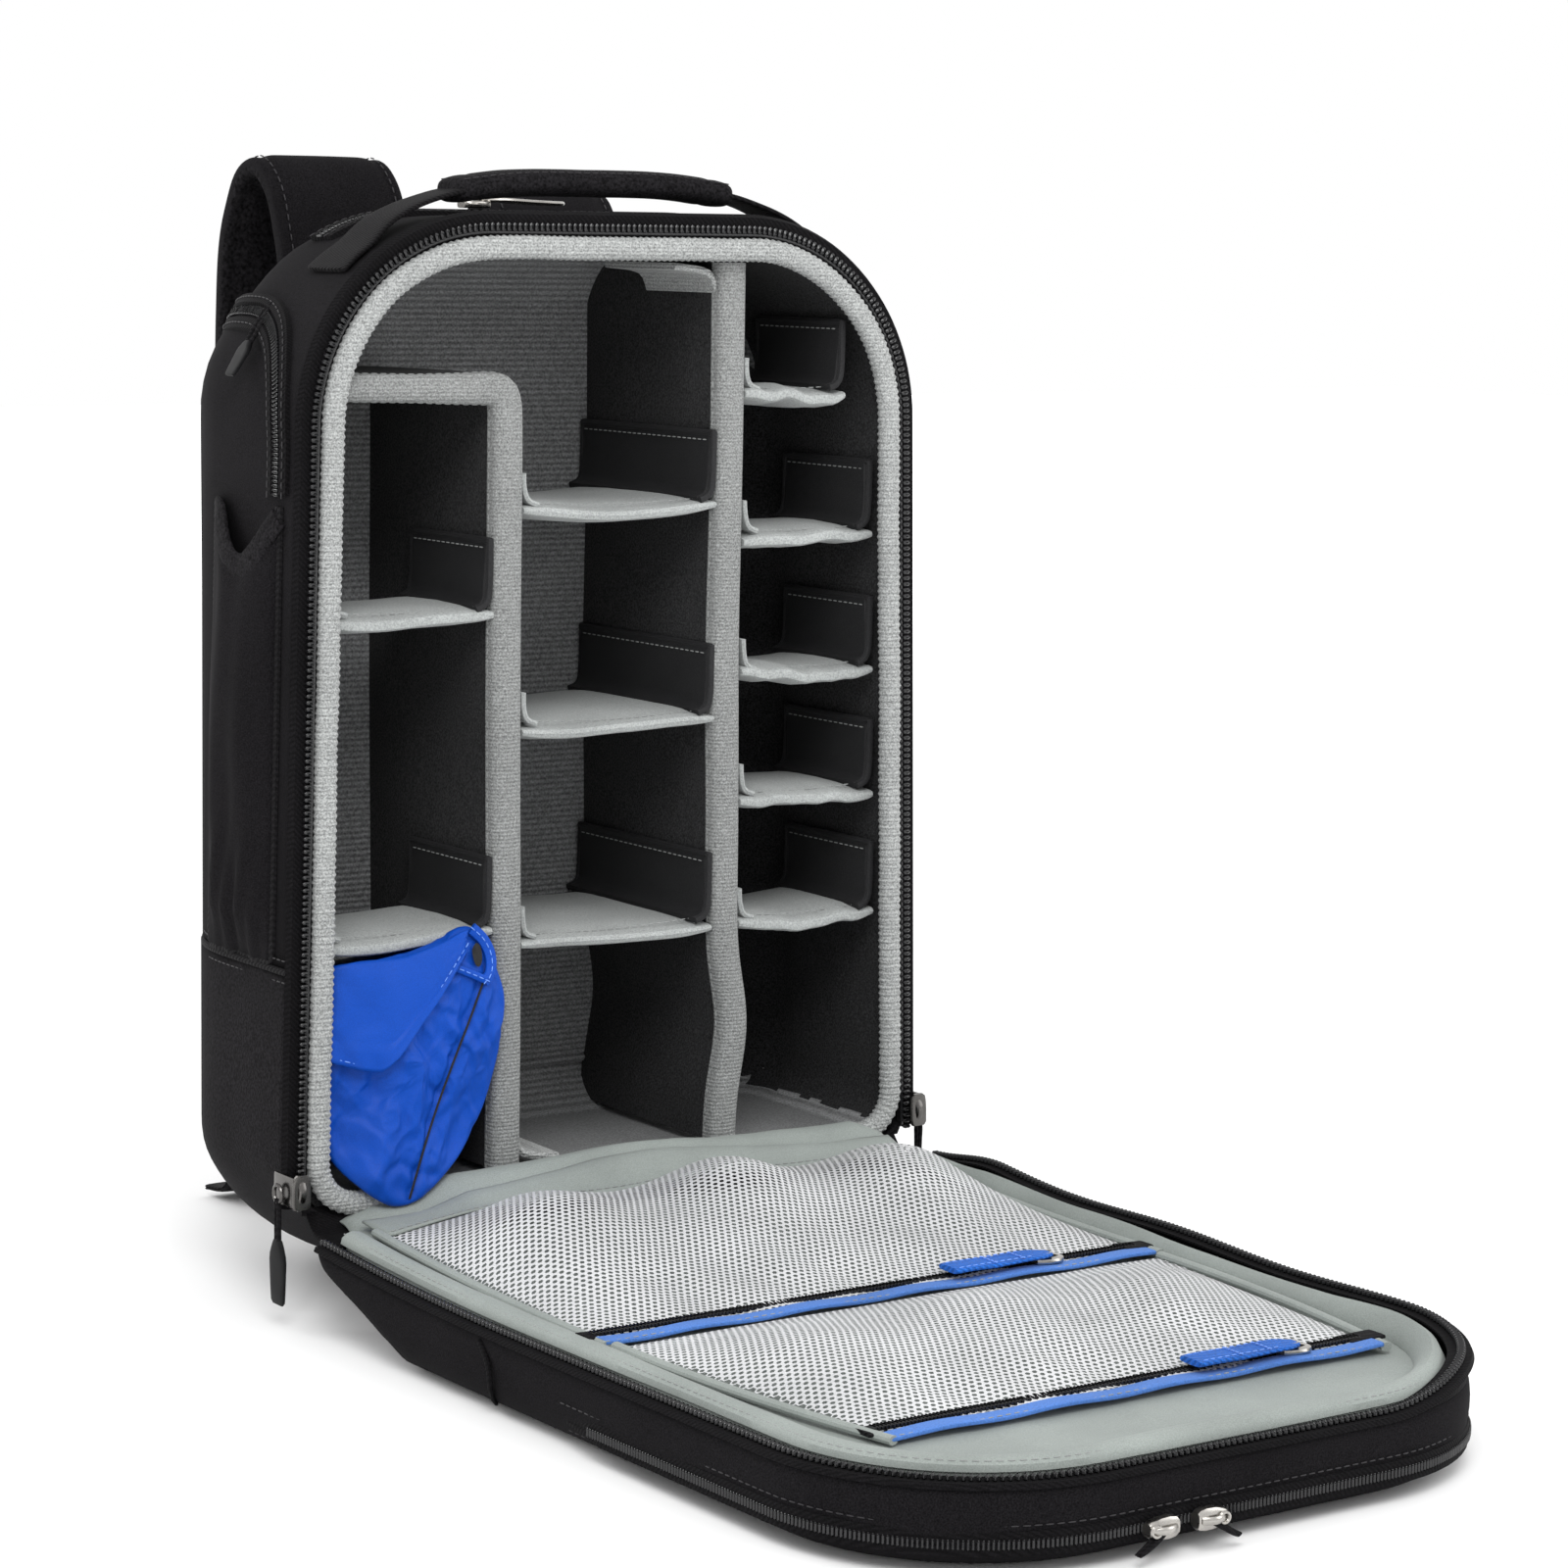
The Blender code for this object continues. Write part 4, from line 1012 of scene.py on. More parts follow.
def settle(thing, pressure, frames, cap, shrink=0.0):
    """Swells or crumples a closed cloth with Blender's cloth, then keeps the result as its mesh."""
    rest = np.array([v.co for v in thing.data.vertices], float)
    step = thing.modifiers.new("cloth", "CLOTH")
    s = step.settings
    s.quality = 5
    s.mass = 0.15
    s.tension_stiffness = s.compression_stiffness = 12.0
    s.shear_stiffness = 4.0
    s.bending_stiffness = 0.08
    s.use_pressure = True
    s.uniform_pressure_force = pressure
    s.effector_weights.gravity = 0.0
    s.shrink_min = shrink
    step.collision_settings.use_self_collision = False
    step.collision_settings.use_collision = False
    step.point_cache.frame_start, step.point_cache.frame_end = 1, frames
    scene = bpy.context.scene
    for i in range(1, frames + 1):
        scene.frame_set(i)
    shape = thing.evaluated_get(bpy.context.evaluated_depsgraph_get())
    found = np.array([v.co for v in shape.data.vertices], float)
    thing.modifiers.remove(step)
    scene.frame_set(1)
    if found.shape != rest.shape or not np.isfinite(found).all():
        return
    move = found - rest
    size = np.linalg.norm(move, axis=1)
    move *= np.minimum(1.0, cap / np.maximum(size, 1e-9))[:, None]
    for v, p in zip(thing.data.vertices, rest + move):
        v.co = p
    thing.data.update()


POUCH_OUTLINE = (  # in the plane of the opening, in mm
    (-131.5, 100), (-131.5, 124), (-130, 134), (-121, 137.5), (-96, 138), (-79, 142.5), (-70, 146.5),
                 (-65.5, 147.5), (-61.5, 144),
    (-57.5, 138), (-53.5, 128), (-50.5, 118), (-52.5, 104), (-57.5, 86), (-63, 72), (-73, 59.5), (-87, 49.5),
                 (-98, 43.5),
    (-106, 43), (-115, 48), (-125, 58), (-131, 72),
)
POUCH_FOLDS = (  # each fold: from, to, width and depth, in mm
    ((-64, 126), (-78, 98), 1.6, -1.1), ((-78, 98), (-100, 46), 1.6, -1.1),
    ((-99, 98), (-117, 50), 4.5, 2.2), ((-110, 92), (-124, 62), 5.0, -1.6),
    ((-60, 120), (-84, 66), 5.0, 1.2), ((-86, 118), (-74, 112), 2.4, -0.9),
    ((-92, 90), (-82, 84), 2.0, -0.8), ((-70, 100), (-60, 108), 2.4, -0.8),
    ((-88, 72), (-72, 82), 2.4, -0.7), ((-104, 60), (-88, 54), 2.4, -0.8), ((-96, 106), (-88, 98), 2.6, -0.8),
)


def pouch_lean(x, z):
    """Where the pouch's outline stands: its foot leans forward and its left side sits behind the binding."""
    return -0.0560 - 0.0105 * min(max((0.068 - z) / 0.022, 0.0),
                                  1.0) + 0.0050 * min(max((-0.118 - x) / 0.010, 0.0), 1.0)


def pouch_front(x, z, reach):
    """How far the pouch's face stands out from its outline."""
    depth = 0.0085 * max(1.0 - reach ** 2.4, 0.0) ** 0.5
    inside = min(1.0, (1.0 - reach) / 0.10)
    for start, end, wide, deep in POUCH_FOLDS:
        start = np.array(start, float)
        d = np.array(end, float) - start
        at = np.array((x, z)) * 1000.0
        along = float(np.clip(np.dot(at - start, d) / np.dot(d, d), 0, 1))
        gap = np.linalg.norm(at - start - d * along)
        depth += 1.4 * deep * MM * math.exp(-(gap / wide) ** 2) * inside
    crumple = abs(noise.noise(Vector((x * 70.0 + z * 30.0, z * 45.0, 1.7)))) + 0.5 * abs(noise.noise(Vector((x
        * 150.0, z * 110.0, 4.1))))
    return depth - 0.0032 * crumple * inside


def make_pouch():
    """The folded rain cover: a soft bundle of thin blue nylon, with a flap and a drawn mouth; dark pieces paint the
    shadow inside the mouth and along the main crease.
    """
    low, high = [np.array(p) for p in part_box("rain_cover_pouch")]
    outline = curve_points(list(POUCH_OUTLINE) + [POUCH_OUTLINE[0]], 1.6, 2)[:-1] * MM
    centre = np.array((-0.0900, 0.0980))
    rings = []
    for reach in np.linspace(0.03, 1.0, 38) ** 0.85:
        ring = []
        for q in outline:
            x, z = centre + (q - centre) * reach
            mid = pouch_lean(*q) * reach ** 2 - 0.0575 * (1 - reach ** 2)
            ring.append((x, mid - pouch_front(x, z, reach), z))
        rings.append(ring)
    for shrink, y in ((0.985, 0.0035), (0.93, 0.0080), (0.90, 0.020), (0.86, 0.042), (0.74, 0.055), (0.50, 0.060),
                      (0.2, 0.061)):
        ring = []
        for q in outline:
            x, z = centre + (q - centre) * shrink
            if y > 0.004:
                x, z = min(max(x, low[0]), high[0] - 0.0015), min(max(z, low[2] + 0.001), high[2] + 0.001)
            ring.append((x, pouch_lean(*q) + y, z))
        rings.append(ring)
    verts, faces = loft(rings)
    pouch = piece("pouch", verts, faces, "blue", sharp=math.radians(75))
    parts = [pouch]
    settle(pouch, 0.35, 12, 0.0016, -0.03)
    mesh = pouch.data
    for v in mesh.vertices:
        v.co.x = min(max(v.co.x, -0.1318), -0.0500)
        v.co.z = min(max(v.co.z, 0.0428), 0.1478)
        v.co.y = max(v.co.y, -0.0715)
    subsurf(pouch)
    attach(pouch, "rain_cover_pouch")
    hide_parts("rain_cover_pouch")
    surface = np.array([v.co for v in mesh.vertices], float)
    surface = surface[surface[:, 1] < -0.050]

    def on_front(x, z, proud=0.0006):
        """A point just in front of the pouch's face, from a place in mm."""
        gap = np.hypot(surface[:, 0] - x * MM, surface[:, 2] - z * MM)
        near = surface[gap < max(0.0035, gap.min() + 0.001)]
        return (x * MM, near[:, 1].min() - proud, z * MM)

    top = np.array(((-130.5, 136), (-118, 138.5), (-96, 139), (-80, 143), (-68, 147)), float)
    foot = np.array(((-130.5, 101), (-120, 97.5), (-109.5, 95.5), (-88, 119), (-72, 139)), float)
    size = 26
    rows = []
    for v in np.linspace(0, 1, size):
        row = []
        for u in np.linspace(0, 4, size):
            k = min(int(u), 3)
            a, b = top[k] * (1 - u + k) + top[k + 1] * (u - k), foot[k] * (1 - u + k) + foot[k + 1] * (u - k)
            x, z = a * (1 - v) + b * v
            row.append(on_front(x, z, 0.0006 + 0.0016 * v + 0.0009 * (v > 0.76)
                                + 0.0009 * math.sin(2.2 * u + 5 * v) * v * (1 - v)))
        rows.append(row)
    verts = np.array(rows).reshape(-1, 3)
    flap = piece("pouch_flap", verts, strip_faces(size, size), "blue")
    parts.append(flap)
    add_modifier(flap, "SMOOTH", factor=0.5, iterations=2)
    add_modifier(flap, "SOLIDIFY", thickness=0.0009, offset=0.0)
    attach(flap, "rain_cover_pouch")
    hem = curve_points([on_front(*p, 0.0026) for p in ((-129, 102.5), (-119, 99.5), (-110, 98), (-104, 103),
                                                       (-90, 119.5), (-79, 133), (-71, 141.5))], 0.0015)
    trim = [stitch_row("pouch_flap_stitches", hem, FRONT_AXIS, "blue_thread", "rain_cover_pouch", 2.2, 1.1, 0.26)]
    parts += trim
    hems = (
        ("right", ((-67, 147.2), (-62, 143), (-58.5, 136), (-60, 129), (-63.5, 126.5)), 0.0024),
        ("low", ((-77, 133.5), (-70, 130.5), (-62.5, 127)), 0.0016),
    )
    for word, points, wide in hems:
        line = curve_points([on_front(*p, 0.0010) for p in points], 0.0015)
        verts, faces = swept(line, FRONT_AXIS, ellipse(wide, 0.0009, 12, 0.7))
        parts.append(piece("pouch_hem_" + word, verts, faces, "blue", "rain_cover_pouch"))
        parts.append(sewn("pouch_hem_stitches_" + word, line + np.array((0.0, -0.0010, 0.0)), FRONT_AXIS,
                          "blue_thread", "rain_cover_pouch", 2.2, 1.1, 0.24))
    # Painted shadow: a dark disc laid on the pouch's face, standing in for the shade inside its open mouth.
    mouth = np.array([on_front(-65.6 + 2.3 * a, 137.0 + 4.6 * b, 0.0006) for a, b in ellipse(1.0, 1.0, 16)])
    verts = np.vstack([mouth, mouth.mean(0) + np.array((0, -0.0002, 0))])
    faces = [(k, (k + 1) % 16, 16) for k in range(16)]
    parts.append(piece("pouch_mouth_painted_shadow", verts, faces, "flap", "rain_cover_pouch"))
    # Painted shadow: a thin dark line along the pouch's main crease, where the fold lies in shade.
    seam_and_crease_shadow = curve_points([on_front(*p, 0.0001) for p in ((-63.5, 126), (-70, 112), (-78, 97), (-88, 74),
                                                        (-100, 46))], 0.0015)
    verts, faces = swept(seam_and_crease_shadow, FRONT_AXIS, ellipse(0.0005, 0.0004, 8))
    parts.append(piece("pouch_crease_shadow", verts, faces, "flap", "rain_cover_pouch"))
    for part in parts:
        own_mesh(part)


# ================================================================ the front panel

NET_PITCH = 2.9 * MM
NET_HOLE = 0.58


def panel_taper(points):
    """The panel's upper edge rises a little towards its hinge."""
    p = np.array(points, float)
    t = np.clip((p[:, 1] + 0.22) / 0.14, 0, 1)
    p[:, 2] += 0.0055 * t * t * np.clip(p[:, 2] / 0.03, 0, 1)
    return p


def panel_ring(offset, z, between=24):
    """The rim's outline at a height, with points between the ends of its two straight sides."""
    ring = panel_plane(rim_outline(offset), z)
    turn = len(ring) // 4
    right, left = [np.linspace(ring[k - 1], ring[k], between + 2)[1:-1] for k in (turn, 3 * turn)]
    return np.concatenate([ring[:turn], right, ring[turn:3 * turn], left, ring[3 * turn:]])


def make_panel_shell():
    rings = []
    for z, out in ((0.0293, 0.0010), (0.0290, 0.0030), (0.0270, 0.0038), (0.0235, 0.0040), (0.0190, 0.0038),
                   (0.0150, 0.0034)):
        rings.append(panel_ring(out, z))
    for i in range(1, 9):
        a = math.pi / 2 * i / 8
        rings.append(panel_ring(0.0034 - 0.0145 * (1 - math.cos(a)), 0.0150 - 0.0144 * math.sin(a)))
    base = rings[-1]
    middle = base.mean(0)
    for shrink in (0.06, 0.14, 0.24, 0.36, 0.50, 0.64, 0.78, 0.90):
        rings.append(middle + (base - middle) * (1 - shrink))
    verts, faces = loft(rings, caps=False)
    faces.append(tuple(range(len(verts) - len(rings[0]), len(verts))))
    side = np.clip((0.0275 - verts[:, 2]) / 0.006, 0, 1) * np.clip((verts[:, 2] - 0.002) / 0.006, 0, 1)
    middle = verts.mean(0)
    out = verts - middle
    out[:, 2] = 0
    out /= np.maximum(np.linalg.norm(out, axis=1), 1e-6)[:, None]
    puff = waver(verts, 0.0016, 20.0, 6.0) + waver(verts, 0.0006, 55.0, 9.0)
    verts = verts + out * (puff * side)[:, None]
    near = np.clip((verts[:, 1] - HINGE_Y + 0.068) / 0.068, 0, 1)
    floor = 0.0272 * near ** 0.85
    verts[:, 2] = floor + verts[:, 2] * (0.0293 - floor) / 0.0293
    verts = panel_taper(verts)
    verts[:, 2] = np.maximum(verts[:, 2], 0.0002)
    shell = piece("panel_shell", verts, faces, "nylon", "front_panel")
    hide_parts("lid_shell", "lid_foam")
    y = -0.205
    for sign, word in SIDES:
        line = []
        for z in np.linspace(0.0262, 0.0030, 16):
            sink = 0.0145 * (1 - math.sqrt(max(1 - ((0.0150 - z) / 0.0146) ** 2, 0.0))) if z < 0.0150 else 0.0
            line.append((sign * (rim_half(PANEL_SHIFT - y, 0.0042) - sink), y + 0.010 * ((z - 0.014) / 0.014) ** 2, z))
        path = panel_taper(np.array(line))
        verts, faces = swept(path, (sign, 0, 0), ellipse(0.0013, 0.0009, 8))
        slotted("panel_side_seam_" + word, verts, faces, "tape", "front_panel")
    add_modifier(shell, "SOLIDIFY", thickness=0.0010, offset=-1.0)


def shell_side_line(z, reach, proud=0.0002):
    """A line round the panel's outer side at a height, for the part farther than a distance from the hinge."""
    ring = panel_plane(resample(rim_outline(0.0041 + proud), 0.003, True), z)
    keep = ring[:, 1] < reach
    start = int(np.argmax(keep & ~np.roll(keep, 1)))
    ring, keep = np.roll(ring, -start, 0), np.roll(keep, -start)
    return ring[keep]


def zip_rise(points):
    """The panel's half of the zipper stands up on its right side while the panel is open."""
    p = np.array(points, float)
    right = np.clip((p[:, 0] - 0.055) / 0.060, 0, 1) * np.clip((-0.070 - p[:, 1]) / 0.060, 0, 1)
    p[:, 2] += 0.0075 * right * right * (3 - 2 * right) * (1 + 0.12 * np.sin(p[:, 1] * 46.0))
    return p


def make_panel_zip():
    """The panel's half of the main zipper: tape and teeth round three sides."""
    line = resample(arch(0.0004, 0.052), 0.004)
    low = panel_taper(panel_plane(line, 0.0292))
    high = zip_rise(low) + np.array((0.0, 0.0, 0.0006))
    _, side, lift = frames_along(low, UP_AXIS)
    side = facing(side, low - np.array((0.0, -0.25, 0.0)))
    rings = [[a - s * 0.0010, a + s * 0.0026, (a + b) / 2 + s * 0.0028, b + s * 0.0022, b - s * 0.0012,
              (a + b) / 2 - s * 0.0012]
             for a, b, s in zip(low, high, side)]
    verts, faces = loft(rings)
    wall = piece("panel_zip_wall", verts, faces, "tape", "front_panel")
    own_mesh(wall)
    path = zip_rise(panel_taper(panel_plane(line, 0.0300)))
    _, side, lift = frames_along(path, UP_AXIS)
    side = -side if side[len(side) // 2][1] > 0 else side
    tape_profile = [(-0.0046, -0.0004), (0.0034, -0.0004), (0.0044, -0.0016), (0.0048, -0.0012), (0.0040, 0.0005),
                    (-0.0046, 0.0004)]
    verts, faces = sweep(path, side, lift, tape_profile)
    tape = piece("panel_tape", verts, faces, "tape", "front_panel")
    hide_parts("lid_zipper")
    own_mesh(tape)
    path = zip_rise(panel_taper(panel_plane(resample(arch(0.0006, 0.052), 2.45 * MM), 0.0315)))
    _, side, lift = frames_along(path, UP_AXIS)
    teeth = coil_teeth("panel_teeth", path, side, lift, "coil", "front_panel", size=(1.55, 3.3, 2.3))
    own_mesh(teeth)


def make_panel_lining():
    """The grey-green lining, with its sewn border standing round the pockets."""
    rings = []
    outline = resample(rim_outline(-0.0052), 0.004, True)
    middle = outline.mean(0)
    for k, z in ((0.0, 0.0270), (0.0, 0.0310), (0.006, 0.0318), (0.03, 0.0317), (0.12, 0.0316), (0.35, 0.0316),
                 (0.60, 0.0316), (0.85, 0.0316)):
        rings.append(panel_plane(middle + (outline - middle) * (1 - k), z))
    verts, faces = loft(rings, caps=False)
    faces.append(tuple(range(len(verts) - len(outline), len(verts))))
    flatter = (verts[:, 2] > 0.0312) * (waver(verts, 0.0009, 22.0, 3.0) + waver(verts * np.array((1.0, 0.25, 1.0)),
        0.0006, 70.0, 5.0))
    verts[:, 2] += np.maximum(flatter, -0.0004)
    verts = panel_taper(verts)
    lining = piece("panel_lining", verts, faces, "panel", "front_panel")
    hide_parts("lid_liner")
    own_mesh(lining)
    line = resample(arch(-0.0098, 0.056), 0.003)
    path = panel_plane(line, 0.0334)
    _, side, lift = frames_along(path, UP_AXIS)
    inward = np.array((0.0, -0.25, 0.0)) - path
    side = facing(side, inward)
    seeds = waver(path, 1.0, 14.0, 2.0)
    rings = []
    for p, s, l, k in zip(path, side, lift, seeds):
        right = np.clip((p[0] - 0.06) / 0.06, 0, 1) * np.clip((-0.08 - p[1]) / 0.05, 0, 1)
        rise = 0.0010 + 0.0016 * max(k, 0) + 0.0036 * right * (0.8 + 0.6 * k)
        wide = 0.0056 + 0.0008 * k
        profile = [(-wide, -0.0018), (-wide * 0.9, 0.0004), (-wide * 0.55, 0.0010 + rise * 0.7),
                   (-0.0005, 0.0012 + rise),
                   (wide * 0.5, 0.0010 + rise * 0.6), (wide * 0.92, 0.0), (wide, -0.0018)]
        rings.append([p + u * s + v * l for u, v in profile])
    verts, faces = loft(rings)
    verts = panel_taper(verts)
    border = piece("panel_border", verts, faces, "panel", "front_panel")
    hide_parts("lid_border")
    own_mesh(border)
    for offset, z in ((-0.0062, 0.0348), (-0.0142, 0.0330)):
        path = panel_taper(panel_plane(resample(arch(offset, 0.056), 0.004), z))
        row = stitch_row("border_stitches_%s" % ("outer" if offset > -0.01 else "inner"), path, UP_AXIS, "thread",
                         "front_panel", 2.4, 1.4, 0.26)
        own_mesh(row)


def net_pocket(name, node, y_near, y_far, half_near, half_far, heights):
    """A net pocket: a honeycomb of thread between its binding and its zip, bulging off the lining."""
    pitch = NET_PITCH
    row_step = pitch * math.sqrt(3) / 2
    verts, faces, index = [], [], {}

    def height(x, y):
        v = (y_near - y) / (y_near - y_far)
        half = half_near + (half_far - half_near) * v
        u = x / half
        edge = max(0.0, 1 - abs(u) ** 6) * math.sin(math.pi * min(max(v, 0), 1)) ** 0.55
        swell = np.interp(v, np.linspace(0, 1, len(heights)), heights)
        fold = 0.0016 * math.sin(9.0 * u + 5.0 * v) + 0.0022 * noise.noise(Vector((u * 2.6, v * 2.2, 3.0)))
        crease = 0.0018 * math.sin(24.0 * u + 3.0 * math.sin(4 * v)) * math.exp(-((v - 1.0) / 0.25) ** 2)
        return 0.0336 + edge * max(swell + (fold + crease) * swell / 0.010, 0.0003)

    def point(x, y):
        key = (round(x * 1e6), round(y * 1e6))
        if key not in index:
            index[key] = len(verts)
            verts.append((x, y, height(x, y)))
        return index[key]

    rows = int((y_near - y_far) / row_step) + 1
    for r in range(rows):
        cy = y_near - r * row_step
        shift = pitch / 2 if r % 2 else 0.0
        columns = int(half_near * 2 / pitch) + 2
        for c in range(columns):
            cx = -half_near + c * pitch + shift
            v = (y_near - cy) / (y_near - y_far)
            if abs(cx) > half_near + (half_far - half_near) * v - pitch / 2 or not 0.01 < v < 0.99:
                continue
            outer, inner = [], []
            for k in range(6):
                a = math.pi / 6 + k * math.pi / 3
                ring = pitch / math.sqrt(3)
                outer.append(point(cx + ring * math.cos(a), cy + ring * math.sin(a)))
                inner.append(point(cx + ring * NET_HOLE * math.cos(a), cy + ring * NET_HOLE * math.sin(a)))
            for k in range(6):
                m = (k + 1) % 6
                faces.append((outer[k], outer[m], inner[m], inner[k]))
    net = piece(name, panel_taper(np.array(verts)), faces, "net", "front_panel")
    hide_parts(node)
    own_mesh(net)
    return height


def edge_binding(name, path, look, radius=(0.0022, 0.0016)):
    verts, faces = swept(path, UP_AXIS, ellipse(radius[0], radius[1], 10, 0.9))
    thing = piece(name, panel_taper(verts), faces, look, "front_panel")
    return thing


def band_strip(name, x0, x1, y0, y1, z, thick, look, wave=0.0003):
    """A flat strip across the panel, with rounded edges."""
    rings = []
    for x in np.linspace(x0, x1, max(int(abs(x1 - x0) / 0.004), 4)):
        lift = wave * math.sin(x * 130.0)
        rings.append([(x, (y0 + y1) / 2 + u, z + v + lift) for u, v in ellipse(abs(y1 - y0) / 2, thick / 2, 14, 0.5)])
    verts, faces = loft(rings)
    thing = piece(name, panel_taper(verts), faces, look, "front_panel")
    return thing


def pocket_zip(name, node, half, y_near, y_far):
    """A pocket's zipper: a coil on its tape, a light blue band and a black end tab."""
    coil_y = y_near - 0.0040
    tape = band_strip(name + "_tape", -half, half, y_near + 0.0012, y_near - 0.0080, 0.0341, 0.0012, "tape")
    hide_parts(node)
    path = np.array([(x, coil_y, 0.0358) for x in np.arange(-half + 0.001, half - 0.006, 1.5 * MM)])
    t, side, lift = frames_along(path, UP_AXIS)
    tooth = soft_box((1.0 * MM, 4.4 * MM, 1.7 * MM), 0.8)
    verts, faces = copies(tooth, path, t, side, lift)
    slotted(name + "_teeth", panel_taper(verts), faces, "coil", "front_panel")
    band_strip(name + "_band", -half, half - 0.003, y_near - 0.0068, y_far + 0.0002, 0.0348, 0.0018, "band", 0.0004)
    band_strip(name + "_end", half - 0.012, half + 0.0035, y_near + 0.001, y_near - 0.0085, 0.0353, 0.0016, "webbing")
    band_strip(name + "_start", -half - 0.003, -half + 0.004, y_near + 0.001, y_near - 0.0085, 0.0350, 0.0014,
               "webbing")
    for y, word in ((y_near - 0.0074, "near"), (y_far + 0.0012, "far")):
        row = panel_taper(np.array([(x, y, 0.0354) for x in np.linspace(-half + 0.002, half - 0.006, 60)]))
        sewn("%s_stitches_%s" % (name, word), row, UP_AXIS, "thread", "front_panel", 2.2, 1.4, 0.22)


def small_slider(name, body, place, along, up, size=(0.0095, 0.0072, 0.0030), look="nickel"):
    """A zipper slider: two plates, a bridge over the top and a ring for its pull."""
    along, up = np.asarray(along, float), np.asarray(up, float)
    across = np.cross(up, along)
    axes = np.array((along, across, up))
    length, width, height = size
    plate = []
    for x, w in ((-0.5, 0.55), (-0.42, 0.72), (-0.1, 0.95), (0.2, 1.0), (0.42, 0.88), (0.5, 0.65)):
        plate.append([(x * length, a, b) for a, b in ellipse(w * width / 2, height * 0.5, 12, 0.6)])
    parts = [loft(plate)]
    bridge = np.array([(x * length, 0, height * (0.45 + 0.42 * math.sin(math.pi * (x + 0.38) / 0.76)))
                       for x in np.linspace(-0.38, 0.38, 9)])
    parts.append(swept(bridge, (0, 1, 0), ellipse(height * 0.16, width * 0.17, 8)))
    ring = np.array([(length * 0.16 * math.cos(a) - length * 0.34, width * 0.22 * math.sin(a), height * 0.62)
                     for a in np.linspace(0, 2 * math.pi, 18)[:-1]])
    parts.append(swept(ring, (0, 0, 1), ellipse(height * 0.15, height * 0.15, 6), True))
    verts, faces = merged(parts)
    verts = np.asarray(place) + verts @ axes
    thing = piece(name, verts, faces, look, body)
    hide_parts(body)
    return thing


def make_panel_sliders():
    for word in ("lower", "upper"):
        slider, pull = "mesh_slider_" + word, "mesh_pull_" + word
        (x0, y0, z0), (x1, y1, z1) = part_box(slider)
        small_slider(slider + "_metal", slider, ((x0 + x1) / 2, (y0 + y1) / 2, (z0 + z1) / 2), (1, 0, 0), (0, 0, 1),
                     (x1 - x0, y1 - y0, z1 - z0))
        (x0, y0, z0), (x1, y1, z1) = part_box(pull)
        y, z, half = (y0 + y1) / 2, (z0 + z1) / 2, (y1 - y0) / 2
        rings = []
        for s in np.linspace(0, 1, 24):
            x = x1 - (x1 - x0) * s
            wide = half * (0.55 + 0.45 * min(s / 0.12, 1.0)) * (1.0 if s < 0.97 else 0.94)
            thick = 0.0008 if s < 0.55 else 0.0011
            rise = 0.0002 * math.sin(s * 9.0)
            rings.append([(x, y + u + 0.0006 * math.sin(3 * s), z + v + rise) for u,
                          v in ellipse(wide, thick, 14, 0.5)])
        verts, faces = loft(rings)
        web = piece(pull + "_webbing", verts, faces, "pull", pull)
        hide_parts(pull)
        rows = [np.array([(x, y + k * half * 0.72, z + 0.0012) for x in np.linspace(x0 + 0.003, x1 - 0.012, 20)])
                for k in (-1, 1)]
        for k, row in enumerate(rows):
            sewn("%s_stitches_%d" % (pull, k + 1), row, UP_AXIS, "blue_thread", pull, 2.0, 1.0, 0.22)
        crosses = []
        for s in (0.32, 0.60):
            x = x1 - (x1 - x0) * s
            crosses.append(np.array([(x, y + k, z + 0.0012) for k in np.linspace(-half * 0.75, half * 0.75, 6)]))
        for k, row in enumerate(crosses):
            sewn("%s_bar_%d" % (pull, k + 1), row, UP_AXIS, "blue_thread", pull, 1.8, 0.4, 0.28)
        ring = np.array([(x1 - 0.0024 + 0.0034 * math.cos(a), y + 0.0028 * math.sin(a), z + 0.0002)
                         for a in np.linspace(0, 2 * math.pi, 20)[:-1]])
        verts, faces = swept(ring, (0, 0, 1), ellipse(0.0007, 0.0007, 8), True)
        slotted(pull + "_ring", verts, faces, "nickel", pull)


